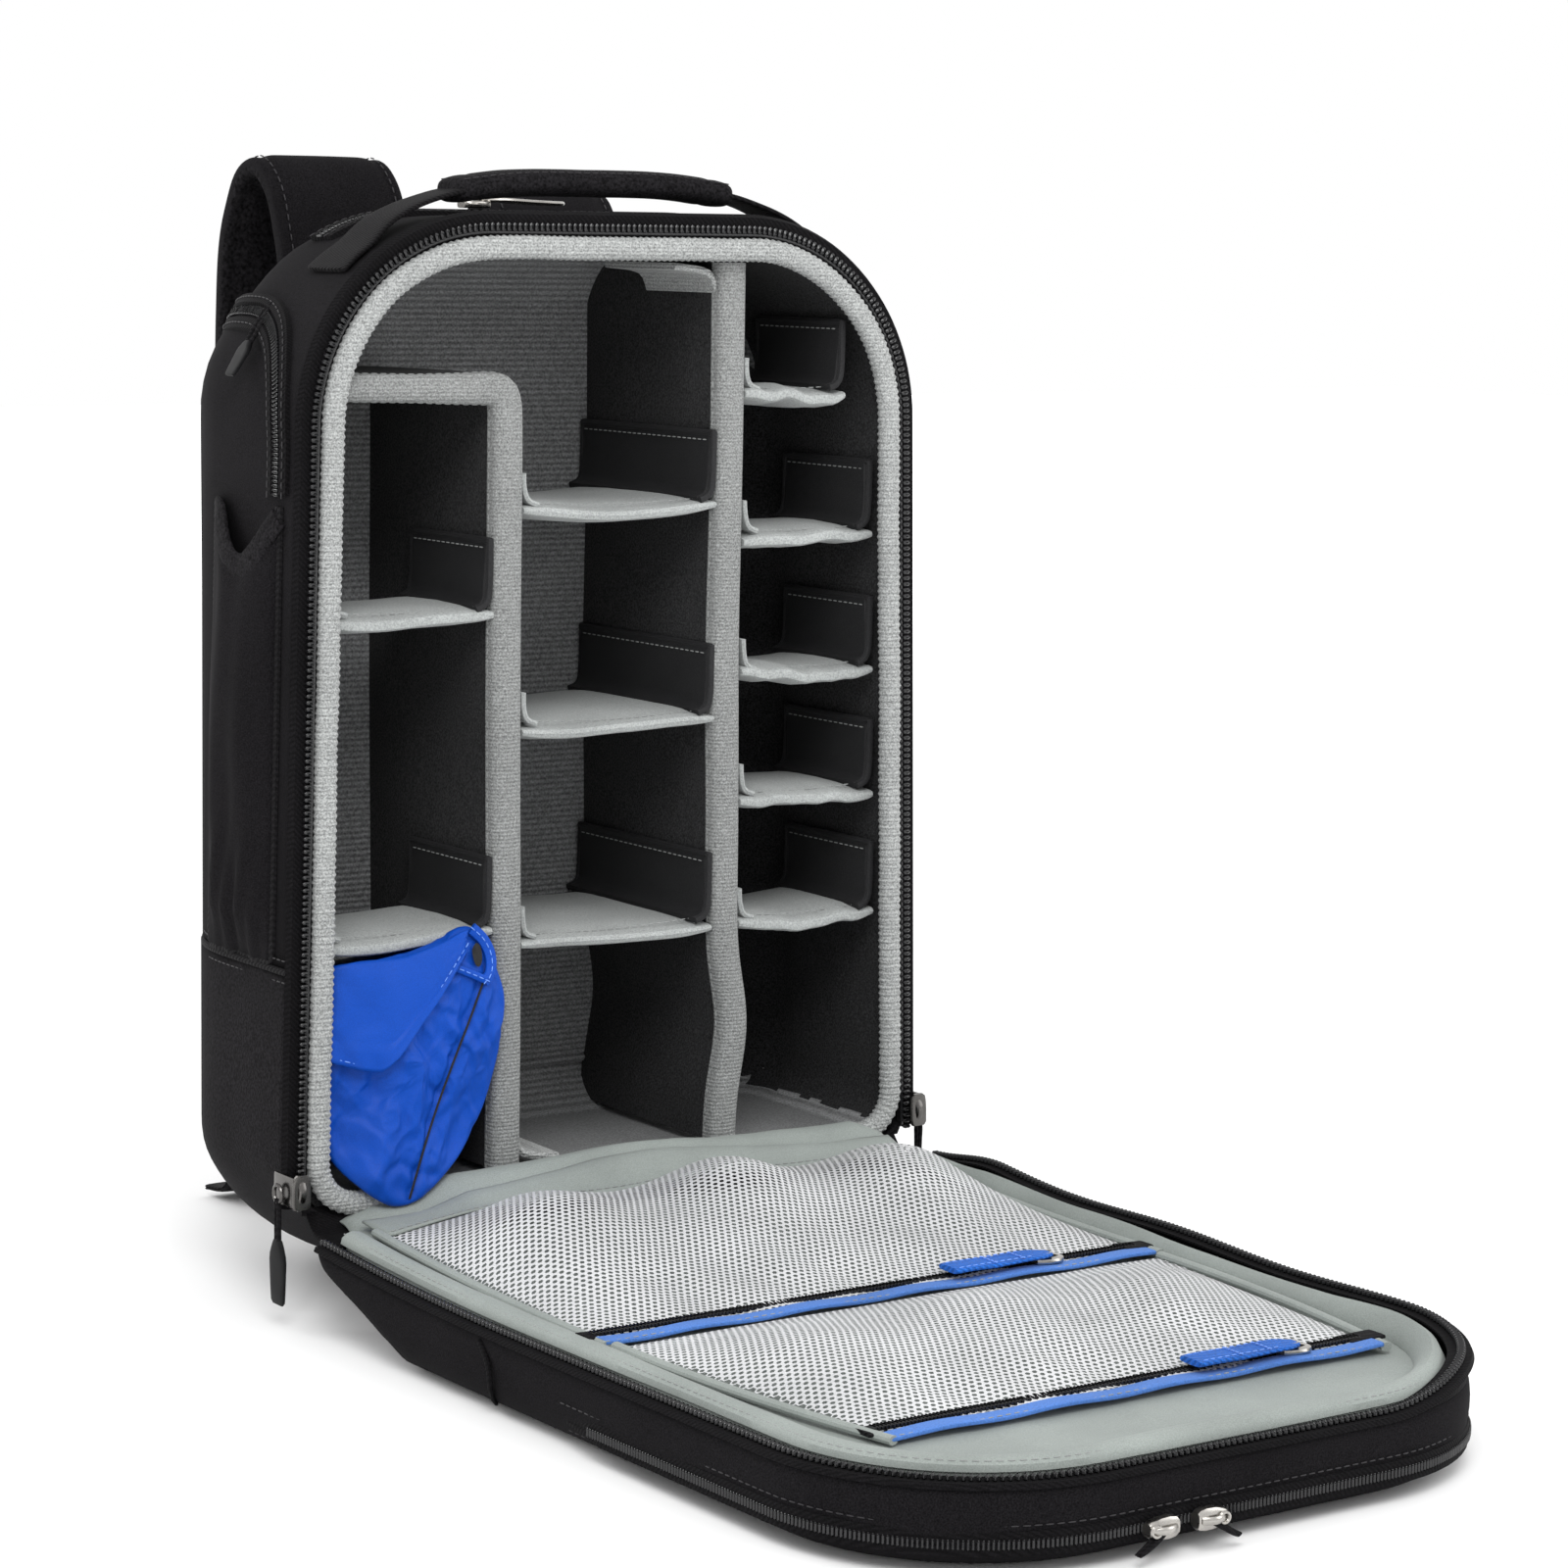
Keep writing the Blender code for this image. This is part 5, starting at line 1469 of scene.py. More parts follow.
def make_front_pocket():
    """The zip of the outer pocket, low round the far side of the panel, with two sliders."""
    line = shell_side_line(0.0112, -0.25, 0.0003)
    t, side, lift = frames_along(line, UP_AXIS)
    middle = np.array((0.0, -0.25, 0.0))
    side = facing(side, line - middle)
    drop = 0.0020
    line = line - side * drop
    line[:, 2] -= 0.0005
    profile = [(-0.001, -0.0048), (0.0016, -0.0040), (0.0020, -0.0012), (0.0016, 0.0), (0.0020, 0.0012),
               (0.0016, 0.0040), (-0.001, 0.0048)]
    rings = []
    for i, (p, s, l) in enumerate(zip(line, side, lift)):
        end = min(1.0, min(i, len(line) - 1 - i) / 8.0)
        rings.append([p + s * (u - 0.0022 * (1 - end)) + l * v * (0.4 + 0.6 * end) for u, v in profile])
    verts, faces = loft(rings)
    tape = piece("front_zip_tape", verts, faces, "tape", "front_panel")
    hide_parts("front_zip")
    path = resample((line + side * 0.0019)[6:-6], 1.6 * MM)
    t, side2, lift = frames_along(path, UP_AXIS)
    side2 = facing(side2, path - middle)
    tooth = soft_box((1.05 * MM, 1.4 * MM, 3.4 * MM), 0.8)
    verts, faces = copies(tooth, path, t, side2, lift)
    slotted("front_zip_teeth", verts, faces, "coil", "front_panel")
    for z, word in ((0.0165, "upper"), (0.0062, "lower")):
        inset = 0.0004 if word == "upper" else 0.0040
        ring = shell_side_line(z, -0.25, -inset)
        sewn("front_zip_stitches_" + word, ring, UP_AXIS, "dark_thread", "front_panel", 2.6, 1.2, 0.26)
    for word in ("a", "b"):
        name = "front_slider_" + word
        (x0, y0, z0), (x1, y1, z1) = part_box(name)
        along = (1, 0, 0) if word == "a" else (-1, 0, 0)
        centre = np.array(((x0 + x1) / 2, (y0 + y1) / 2, (z0 + z1) / 2))
        small_slider(name + "_metal", name, centre, along, (0, -1, 0), (x1 - x0, z1 - z0, y1 - y0))
        away = -1 if word == "a" else 1
        route = ((-2.0, -1.2, 0.0), (3.0, -3.0, -2.8), (8.6, -2.6, -6.2), (12.4, -2.0, -7.4), (8.2, -1.4, -5.6),
                 (2.4, -1.4, -1.0))
        loop = curve_points([centre + np.array((away * x, y, z)) * MM for x, y, z in route], 0.0012)
        loop[:, 2] = np.maximum(loop[:, 2], 0.0011)
        verts, faces = swept(loop, (0, 1, 0), ellipse(0.0009, 0.0009, 8))
        slotted(name + "_loop", verts, faces, "webbing", name)


def make_hinge():
    """The cloth that joins the panel to the case along its lower edge."""
    half = RIM_HALF_LOW - 0.004
    points = curve_points([(-0.0560, 0.0440), (-0.0600, 0.0390), (-0.0645, 0.0350), (-0.0740, 0.0352),
                           (-0.0860, 0.0352)], 0.0012)
    rings = []
    for y, z in points:
        xs = np.linspace(-half, half, 40)
        rings.append(np.column_stack([xs, np.full(40, y),
                                      z + waver(np.column_stack([xs, np.full(40, y), np.full(40, z)]), 0.0004, 40.0)]))
    verts = np.concatenate(rings)
    faces = strip_faces(len(rings), 40)
    hinge = piece("hinge_cloth", verts, faces, "tape")
    add_modifier(hinge, "SOLIDIFY", thickness=0.0016, offset=0.0)
    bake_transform(hinge)


def make_bridge():
    """The lining that crosses the hinge, over the lower edge of the opening's binding."""
    columns = 60
    points = spline_points([(-0.0535, 0.0470), (-0.0575, 0.0492), (-0.0615, 0.0506), (-0.0660, 0.0500),
                            (-0.0720, 0.0470), (-0.0780, 0.0440)], 0.0016)
    verts = []
    for y, z in points:
        for x in np.linspace(-0.1260, 0.1260, columns):
            u = x / 0.1260
            hump = 0.0075 * math.exp(-(u / 0.42) ** 2) * min(1.0, max(0.0, (-0.0575 - y) / 0.012))
            edge = 0.0050 * max(0.0, abs(u) - 0.90) / 0.10 + 0.0075 * min(1.0, max(0.0, -0.62 - u) / 0.16)
            verts.append((x, y, z + hump - edge + 0.0006 * noise.noise(Vector((x * 60.0, y * 60.0, 2.0)))))
    bridge = piece("hinge_lining", np.array(verts), strip_faces(len(points), columns), "panel")
    add_modifier(bridge, "SOLIDIFY", thickness=0.0010, offset=0.0)
    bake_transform(bridge)


def near_band(height):
    """The wide hem on the hinge side of the lower net, which stands up with the pocket."""
    columns, rows = 60, 9
    verts = []
    for i in range(rows):
        s = i / (rows - 1)
        y = -0.0745 - 0.0190 * s
        for x in np.linspace(-0.1235, 0.1235, columns):
            u = x / 0.1235
            arch_up = (1 - abs(u) ** 6) * (0.012 * math.sin(math.pi * min(s * 0.75, 1.0))
                                           * (0.8 + 0.35 * math.sin(2.6 * u + 0.6)))
            hump = 0.0075 * math.exp(-(u / 0.42) ** 2) * (1 - s) - 0.0050 * min(1.0,
                max(0.0, -0.62 - u) / 0.16) * (1 - s)
            z = max(height(x, min(y, -0.0880)) * s + 0.0400 * (1 - s) + arch_up * (1 - s) * 0.6 + hump, 0.0345) + 0.0006
            verts.append((x, y, z + 0.0007 * noise.noise(Vector((x * 40.0, y * 40.0, 1.0)))))
    verts = panel_taper(np.array(verts))
    band = piece("lower_net_hem", verts, strip_faces(rows, columns), "panel", "front_panel")
    add_modifier(band, "SOLIDIFY", thickness=0.0010, offset=0.0)
    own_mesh(band)
    row = verts[(rows - 2) * columns:(rows - 1) * columns] + np.array((0, 0, 0.0008))
    stitches = stitch_row("lower_net_hem_stitches", row[1:-1], UP_AXIS, "thread", "front_panel", 2.4, 1.3, 0.24)
    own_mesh(stitches)


def make_panel():
    make_panel_shell()
    make_panel_zip()
    make_panel_lining()
    height = net_pocket("lower_net", "mesh_pocket_lower", -0.0860, -0.2505, 0.1235, 0.1225,
                                     (0.016, 0.024, 0.024, 0.019, 0.013, 0.008, 0.004))
    net_pocket("upper_net", "mesh_pocket_upper", -0.2530, -0.3945, 0.1215, 0.1060,
                                     (0.004, 0.009, 0.011, 0.010, 0.007, 0.004))
    near_band(height)
    for sign, word in SIDES:
        edge_binding("lower_net_%s_binding" % word,
                     np.array([(sign * 0.1238, y, 0.0342) for y in np.linspace(-0.086, -0.251, 30)]), "panel")
        edge_binding("upper_net_%s_binding" % word,
                     np.array([(sign * (0.1218 - 0.0155 * k ** 2), y, 0.0342) for k,
                               y in zip(np.linspace(0, 1, 30), np.linspace(-0.253, -0.395, 30))]), "panel")
    for name, node, half in (("lower_net_zip", "mesh_zip_lower", 0.1245), ("upper_net_zip", "mesh_zip_upper", 0.1080)):
        low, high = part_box(node)
        pocket_zip(name, node, half, high[1], low[1])
    make_panel_sliders()
    make_front_pocket()
    make_hinge()
    make_bridge()


# ================================================================ outside: handle, straps, pockets, zips

def strap_ring(p, across, lift, wide, thick, steps=28, power=0.5):
    """One closed section of a flat strap."""
    return [p + u * across + v * lift for u, v in ellipse(wide / 2, thick / 2, steps, power)]


def make_handle():
    """The grab handle on top: a padded grip and the webbing that runs down to its anchors."""
    low, high = [np.array(p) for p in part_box("handle_grip")]
    y = (low[1] + high[1]) / 2
    z = (low[2] + high[2]) / 2
    half = (high[0] - low[0]) / 2
    path = spline_points([(-half + 0.003, y, z), (-half * 0.6, y, z + 0.0028), (0.0, y, z + 0.0036),
                          (half * 0.6, y, z + 0.0028),
                          (half - 0.003, y, z)], 0.002)
    t, side, lift = frames_along(path, UP_AXIS)
    rings = []
    count = len(path)
    for i, (p, s, l) in enumerate(zip(path, side, lift)):
        u = i / (count - 1)
        end = min(u, 1 - u)
        size = 0.80 + 0.20 * min(1.0, end / 0.045) ** 0.5
        crease = 1.0 - 0.10 * math.exp(-((end - 0.075) / 0.009) ** 2)
        soft = 1.0 + 0.03 * noise.noise(Vector(p) * 90.0)
        rings.append([p + a * s * size * crease * soft + b * l * size * crease * soft for a,
                      b in ellipse(0.0112, 0.0054, 20, 0.75)])
    verts, faces = loft(rings)
    grip = piece("handle_pad", verts, faces, "boot", "handle")
    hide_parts("handle_grip")
    subsurf(grip)
    for sign, word in ((-1, "front"), (1, "back")):
        row = path[2:-2] + np.array((0.0, sign * 0.0090, 0.0040))
        sewn("handle_stitches_" + word, row, UP_AXIS, "dark_thread", "handle", 2.6, 1.2, 0.28)
    radius = RIM_R_HIGH + CASE_OUT + 0.0018
    for sign, word in SIDES:
        line = [(sign * (half - 0.016), y, z + 0.0016), (sign * (half + 0.001), y, z - 0.0016)]
        for angle in (64, 58, 52, 46):
            a = math.radians(angle)
            line.append((sign * (RIM_ARC_X + (radius + (0.0022 if angle == 64 else 0.0)) * math.cos(a)), y,
                         RIM_ARC_Z + (radius + (0.0022 if angle == 64 else 0.0)) * math.sin(a)))
        path = spline_points(line, 0.002)
        t = tangents(path)
        rings = []
        for i, (p, d) in enumerate(zip(path, t)):
            u = i / (len(path) - 1)
            lift = np.cross(np.array((0, 1.0, 0)), d)
            wide = 0.021 + 0.010 * max(u - 0.35, 0) / 0.65
            rings.append(strap_ring(p, np.array((0, 1.0, 0)), lift, wide, 0.0026))
        verts, faces = loft(rings)
        web = piece("handle_webbing_" + word, verts, faces, "webbing")
        subsurf(web)
        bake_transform(web)
        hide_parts("handle_anchor_" + word)
        k = int(0.92 * (len(path) - 1))
        lift = np.cross(np.array((0, 1.0, 0)), t[k])
        row = np.array([path[k] + lift * sign * 0.0018 + np.array((0, v, 0)) for v in np.linspace(-0.008, 0.008, 8)])
        sewn("handle_bar_%s" % word, row, UP_AXIS, "dark_thread", "case", 1.9, 0.5, 0.3)


def strap_lean(u, sign):
    """The straps start closer together at the yoke and spread as they come over the top."""
    rest = min(max((u - 0.10) / 0.34, 0.0), 1.0)
    inward = 0.0065 + 0.0085 * (1 - rest * rest * (3 - 2 * rest))
    return -sign * inward * min(1.0, (1.0 - u) / 0.12)


def make_straps():
    """Shoulder straps: one padded length each, from the yoke on the back over and down to the buckle."""
    for sign, word in SIDES:
        strap = "shoulder_strap_" + word
        low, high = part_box(strap)
        sink = 0.445 - high[2]
        x = (low[0] + high[0]) / 2
        yoke = [(0.0690, 0.330), (0.0700, 0.372), (0.0735, 0.410 - sink), (0.0810, 0.4335 - sink)]
        over = [(0.0895, 0.4400 - sink), (0.0990, 0.4375 - sink), (0.1075, 0.4215 - sink)]
        hang = [(0.1118, 0.380), (0.1125, 0.300), (0.1100, 0.210), (0.1062, 0.130)]
        path = spline_points([(x, a, b) for a, b in yoke + over + hang], 0.004)
        t = tangents(path)
        rings = []
        across = np.array((1.0, 0.0, 0.0))
        for i, (p, d) in enumerate(zip(path, t)):
            u = i / (len(path) - 1)
            lift = np.cross(d, across)
            end = min(u / 0.03, (1 - u) / 0.05, 1.0)
            wide = 0.0605 * (0.90 + 0.10 * end ** 0.5) - 0.022 * max(0.0, (u - 0.86) / 0.14) ** 1.6
            thick = 0.0100 * (0.55 + 0.45 * end ** 0.5)
            lean = across * strap_lean(u, sign)
            ring = []
            for a, b in ellipse(0.5, 0.5, 40, 0.42):
                edge = 1.0 - 0.30 * math.exp(-((abs(a) - 0.41) / 0.025) ** 2)
                soft = 0.0005 * noise.noise(Vector((a * 3.0, u * 16.0, sign * 3.0)))
                ring.append(p + lean + across * a * wide + lift * (b * thick * edge + soft))
            rings.append(ring)
        verts, faces = loft(rings)
        thing = piece("strap_pad_" + word, verts, faces, "nylon")
        mesh = thing.data
        mesh.materials.append(LOOK["airmesh"])
        for face in mesh.polygons:
            k = int(np.argmin(np.linalg.norm(path - np.array(face.center), axis=1)))
            lift = np.cross(t[k], across)
            inner = (np.array(face.center) - path[k]) @ lift
            if inner > 0.0012 and abs(face.center.x - x) < 0.026:
                face.material_index = 1
        subsurf(thing)
        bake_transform(thing)
        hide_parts(strap, "strap_yoke_" + word)
        for edge, part in ((-0.0255, "inner"), (0.0255, "outer")):
            offset = np.array([np.cross(d, across) for d in t]) * -0.0042
            lean = np.array([across * strap_lean(i / (len(path) - 1), sign) for i in range(len(path))])
            row = path + offset + across * edge + lean
            stitches = stitch_row("strap_%s_stitches_%s" % (word, part), row[3:-5], (1.0, 0, 0), "dark_thread",
                                  None, 2.8, 1.3, 0.3)
            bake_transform(stitches)
        web_line = path[int(len(path) * 0.42):]
        tw = t[int(len(path) * 0.42):]
        rings = []
        for i, (p, d) in enumerate(zip(web_line, tw)):
            lift = np.cross(d, across)
            lean = across * strap_lean((i + int(len(path) * 0.42)) / (len(path) - 1), sign)
            rings.append(strap_ring(p + lean - lift * 0.0052, across, lift, 0.0245, 0.0018, 16))
        verts, faces = loft(rings)
        web = piece("strap_top_webbing_" + word, verts, faces, "webbing", strap)
        make_buckle(word, sign, strap)


def make_buckle(word, sign, strap):
    """The ladder buckle at the strap's end, and the webbing that hangs from it to the floor."""
    low, high = [np.array(p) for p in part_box("ladder_buckle_" + word)]
    middle = (low + high) / 2
    wide, thick, tall = (high - low)
    parts = []
    frame_line = np.array([(middle[0] + (wide / 2 - 0.0022) * c, middle[1], middle[2] + (tall / 2 - 0.0022) * s)
                           for c, s in ellipse(1.0, 1.0, 40, 0.35)])
    parts.append(swept(frame_line, (0, 1, 0), ellipse(0.0022, thick / 2, 10, 0.7), True))
    for z in (-0.0035, 0.0035):
        bar = np.array([(middle[0] + k * (wide / 2 - 0.003), middle[1] + 0.0004 * (z > 0), middle[2] + z)
                        for k in np.linspace(-1, 1, 9)])
        parts.append(swept(bar, (0, 1, 0), ellipse(0.0016, thick * 0.36, 10, 0.7)))
    verts, faces = merged(parts)
    buckle = piece("buckle_" + word, verts, faces, "moulded", strap)
    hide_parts("ladder_buckle_" + word)
    x = middle[0]
    across = np.array((1.0, 0.0, 0.0))
    joiner = spline_points([(x, 0.1060, 0.140), (x, 0.1050, 0.127), (x, 0.1035, 0.120), (x, 0.1052, 0.1145)], 0.002)
    t = tangents(joiner)
    verts, faces = loft([strap_ring(p, across, np.cross(d, across), 0.0245, 0.0017, 16) for p, d in zip(joiner, t)])
    slotted("buckle_webbing_" + word, verts, faces, "webbing", strap)
    tail = [(x, 0.1050, 0.1180), (x, 0.1078, 0.1115), (x, 0.1085, 0.0950), (x, 0.1120, 0.0600),
            (x, 0.1205, 0.0225), (x, 0.1330, 0.0056),
            (x, 0.1500, 0.0024)]
    path = spline_points(tail, 0.0025)
    t = tangents(path)
    rings = []
    for p, d in zip(path, t):
        twist = 0.10 * math.sin((p[2] - 0.02) * 28.0) * sign
        side = across * math.cos(twist) + np.cross(d, across) * math.sin(twist)
        rings.append(strap_ring(p, side, np.cross(d, side), 0.0245, 0.0016, 16))
    verts, faces = loft(rings)
    verts[:, 2] = np.maximum(verts[:, 2], 0.0004)
    web = piece("webbing_tail_" + word, verts, faces, "webbing", strap)
    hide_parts("strap_webbing_" + word)
    fold = np.array([p + np.array((0, 0, 0.0016)) for p in path[-9:]])
    t = tangents(fold)
    rings = [strap_ring(p, across, np.cross(d, across), 0.0247, 0.0016, 16) for p, d in zip(fold, t)]
    verts, faces = loft(rings)
    hem = piece("webbing_hem_" + word, verts, faces, "webbing", strap)


def make_back_pads():
    """Padded panels on the back, with air mesh and sewn channels."""
    for _, word in SIDES:
        low, high = [np.array(p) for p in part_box("back_pad_" + word)]
        middle = (low + high) / 2
        outline = tapered((high[0] - low[0]) / 2 - 0.001, (high[0] - low[0]) / 2 - 0.001, low[2] + 0.001,
                          high[2] - 0.001, 0.018, 0.018, 8)
        outline = resample(outline, 0.006, True)
        outline[:, 0] += middle[0]
        centre = outline.mean(0)
        thick = high[1] - low[1]
        rings = []
        for k, y in ((0.30, 0.0), (0.02, 0.0), (0.0, 0.10), (0.0, 0.22), (0.06, 0.42), (0.14, 0.66), (0.24, 0.80),
                     (0.40, 0.86), (0.60, 0.88), (0.80, 0.88), (0.95, 0.88)):
            ring = centre + (outline - centre) * (1 - k)
            rings.append(np.column_stack([ring[:, 0], np.full(len(ring), low[1] + thick * y), ring[:, 1]]))
        verts, faces = loft(rings)
        thing = piece("back_cushion_" + word, verts, faces, "airmesh")
        subsurf(thing)
        bpy.context.view_layer.objects.active = thing
        deps = bpy.context.evaluated_depsgraph_get()
        mesh = bpy.data.meshes.new_from_object(thing.evaluated_get(deps))
        thing.modifiers.clear()
        thing.data = mesh
        settle(thing, 3.0, 14, 0.002)
        for v in thing.data.vertices:
            x, y, z = v.co
            front = min(max((y - low[1] - thick * 0.4) / (thick * 0.4), 0.0), 1.0)
            groove = 0.0
            for line in (0.135, 0.200, 0.265):
                wave = line + 0.010 * math.cos((x - middle[0]) * 40.0)
                groove += math.exp(-((z - wave) / 0.0045) ** 2)
            v.co.y = min(v.co.y, high[1] - 0.0002) - 0.0034 * groove * front
            v.co.y = max(v.co.y, low[1] - 0.0002)
        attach(thing, "case")
        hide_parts("back_pad_" + word)
        edge = [(a, low[1] + thick * 0.18, b) for a, b in outline]
        verts, faces = swept(np.array(edge), (0, 1, 0), ellipse(0.0015, 0.0019, 8), True)
        slotted("back_cushion_binding_" + word, verts, faces, "webbing", "case")


def make_side_pockets():
    """Flat stretch pockets on the sides, with bound edges and an elastic mouth."""
    for sign, word in SIDES:
        name = "side_pocket_" + word
        low, high = [np.array(p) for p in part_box(name)]
        z0, z1 = low[2] + 0.001, high[2] - 0.0006
        y0, y1 = low[1] + 0.001, high[1] - 0.001
        rows, columns = 40, 22
        outer = np.empty((rows, columns, 3))
        for i in range(rows):
            for j, y in enumerate(np.linspace(y0, y1, columns)):
                u, v = i / (rows - 1), j / (columns - 1)
                z = z0 + (z1 - z0 - 0.020 * math.sin(math.pi * min(v * 1.15, 1.0))) * u
                edge = 4 * v * (1 - v)
                bulge = 0.0008 + 0.0078 * edge ** 0.8 * min(1.0, u / 0.12 + 0.10) * (0.70
                    + 0.30 * math.sin(math.pi * u))
                bulge -= 0.0016 * math.exp(-((u - 0.97) / 0.03) ** 2) * edge
                fold = 0.0022 * noise.noise(Vector((y * 75.0, z * 16.0, sign * 4.0))) * edge
                fold += 0.0010 * math.sin(26.0 * (u + 1.2 * v)) * edge * math.exp(-((u - 0.12) / 0.16) ** 2)
                x = rim_half(z, CASE_OUT) + bulge + fold
                outer[i, j] = (sign * x, y, z)
        verts = outer.reshape(-1, 3)
        faces = strip_faces(rows, columns)
        pocket = piece(name + "_cloth", verts, faces, "nylon", "case")
        add_modifier(pocket, "SOLIDIFY", thickness=0.0012, offset=-1.0 if sign > 0 else 1.0)
        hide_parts(name)
        loop = []
        for k in range(rows):
            loop.append(outer[rows - 1 - k, 0])
        for k in range(1, columns):
            loop.append(outer[0, k])
        for k in range(1, rows):
            loop.append(outer[k, columns - 1])
        loop = resample(np.array(loop) + np.array((-sign * 0.0002, 0, 0)), 0.003)
        verts, faces = swept(loop, (sign, 0, 0), ellipse(0.0026, 0.0014, 10, 0.8))
        slotted(name + "_binding", verts, faces, "webbing", "case")
        mouth = outer[-1] + np.array((0.0, 0.0, -0.004))
        mouth = resample(mouth + np.array((sign * 0.0004, 0, 0)), 0.002)
        _, side, lift = frames_along(mouth, (sign, 0, 0))
        rings = []
        for i, (p, s, l) in enumerate(zip(mouth, side, lift)):
            gather = 1.0 + 0.10 * math.sin(i * 1.9)
            rings.append([p + u * s + v * l * gather for u, v in ellipse(0.0052, 0.0013, 14, 0.7)])
        verts, faces = loft(rings)
        piece(name + "_elastic", verts, faces, "boot", "case")
        inner = np.array([outer[k, 2] for k in range(1, rows - 2)]) + np.array((sign * 0.0004, 0.0, 0))
        sewn(name + "_stitches", inner, (sign, 0, 0), "dark_thread", "case", 2.6, 1.3, 0.26)


def make_side_zip(sign, word):
    """The zipper of the upper pocket, curving down the side from the back."""
    route = spline_points([(0.0500, 0.3780), (0.0300, 0.3815), (0.0100, 0.3830), (-0.0095, 0.3815), (-0.0260, 0.3735),
                           (-0.0370, 0.3580), (-0.0410, 0.3400), (-0.0415, 0.3160)], 0.003)

    def surface(y, z):
        return rim_half(z, CASE_OUT) - round_in(CASE_BACK - y, CASE_ROUND)

    path, out = [], []
    for y, z in route:
        x = surface(y, z)
        slope_y = (surface(y + 0.001, z) - surface(y - 0.001, z)) / 0.002
        slope_z = (surface(y, z + 0.001) - surface(y, z - 0.001)) / 0.002
        n = np.array((1.0, -slope_y, -slope_z))
        n /= np.linalg.norm(n)
        path.append(np.array((x, y, z)) + n * 0.0008)
        out.append(n)
    flip = np.array((sign, 1.0, 1.0))
    path, out = np.array(path) * flip, np.array(out) * flip
    path = path + side_pinch(path)
    t = tangents(path)
    side = np.cross(t, out)
    profile = [(-0.0082, -0.0014), (-0.0076, 0.0010), (-0.0034, 0.0016), (-0.0026, 0.0005), (0.0026, 0.0005),
               (0.0034, 0.0016), (0.0076, 0.0010), (0.0082, -0.0014)]
    verts, faces = sweep(path, side, out, profile)
    slotted("side_zip_tape_" + word, verts, faces, "tape", "case")
    spots = resample(path + out * 0.0010, 1.7 * MM)
    keep = np.linspace(0, len(path) - 1, len(spots))
    at = np.column_stack([np.interp(keep, np.arange(len(path)), out[:, k]) for k in range(3)])
    tt = tangents(spots)
    tooth = soft_box((1.15 * MM, 4.4 * MM, 1.7 * MM), 0.8)
    verts, faces = copies(tooth, spots, tt, np.cross(tt, at), at)
    slotted("side_zip_teeth_" + word, verts, faces, "coil", "case")
    for u in (-0.0058, 0.0058):
        row = path + side * u + out * 0.0016
        name = "side_zip_stitches_%s_%s" % (word, "back" if u > 0 else "front")
        sewn(name, row, (sign, 0, 0), "dark_thread", "case", 2.6, 1.2, 0.26)


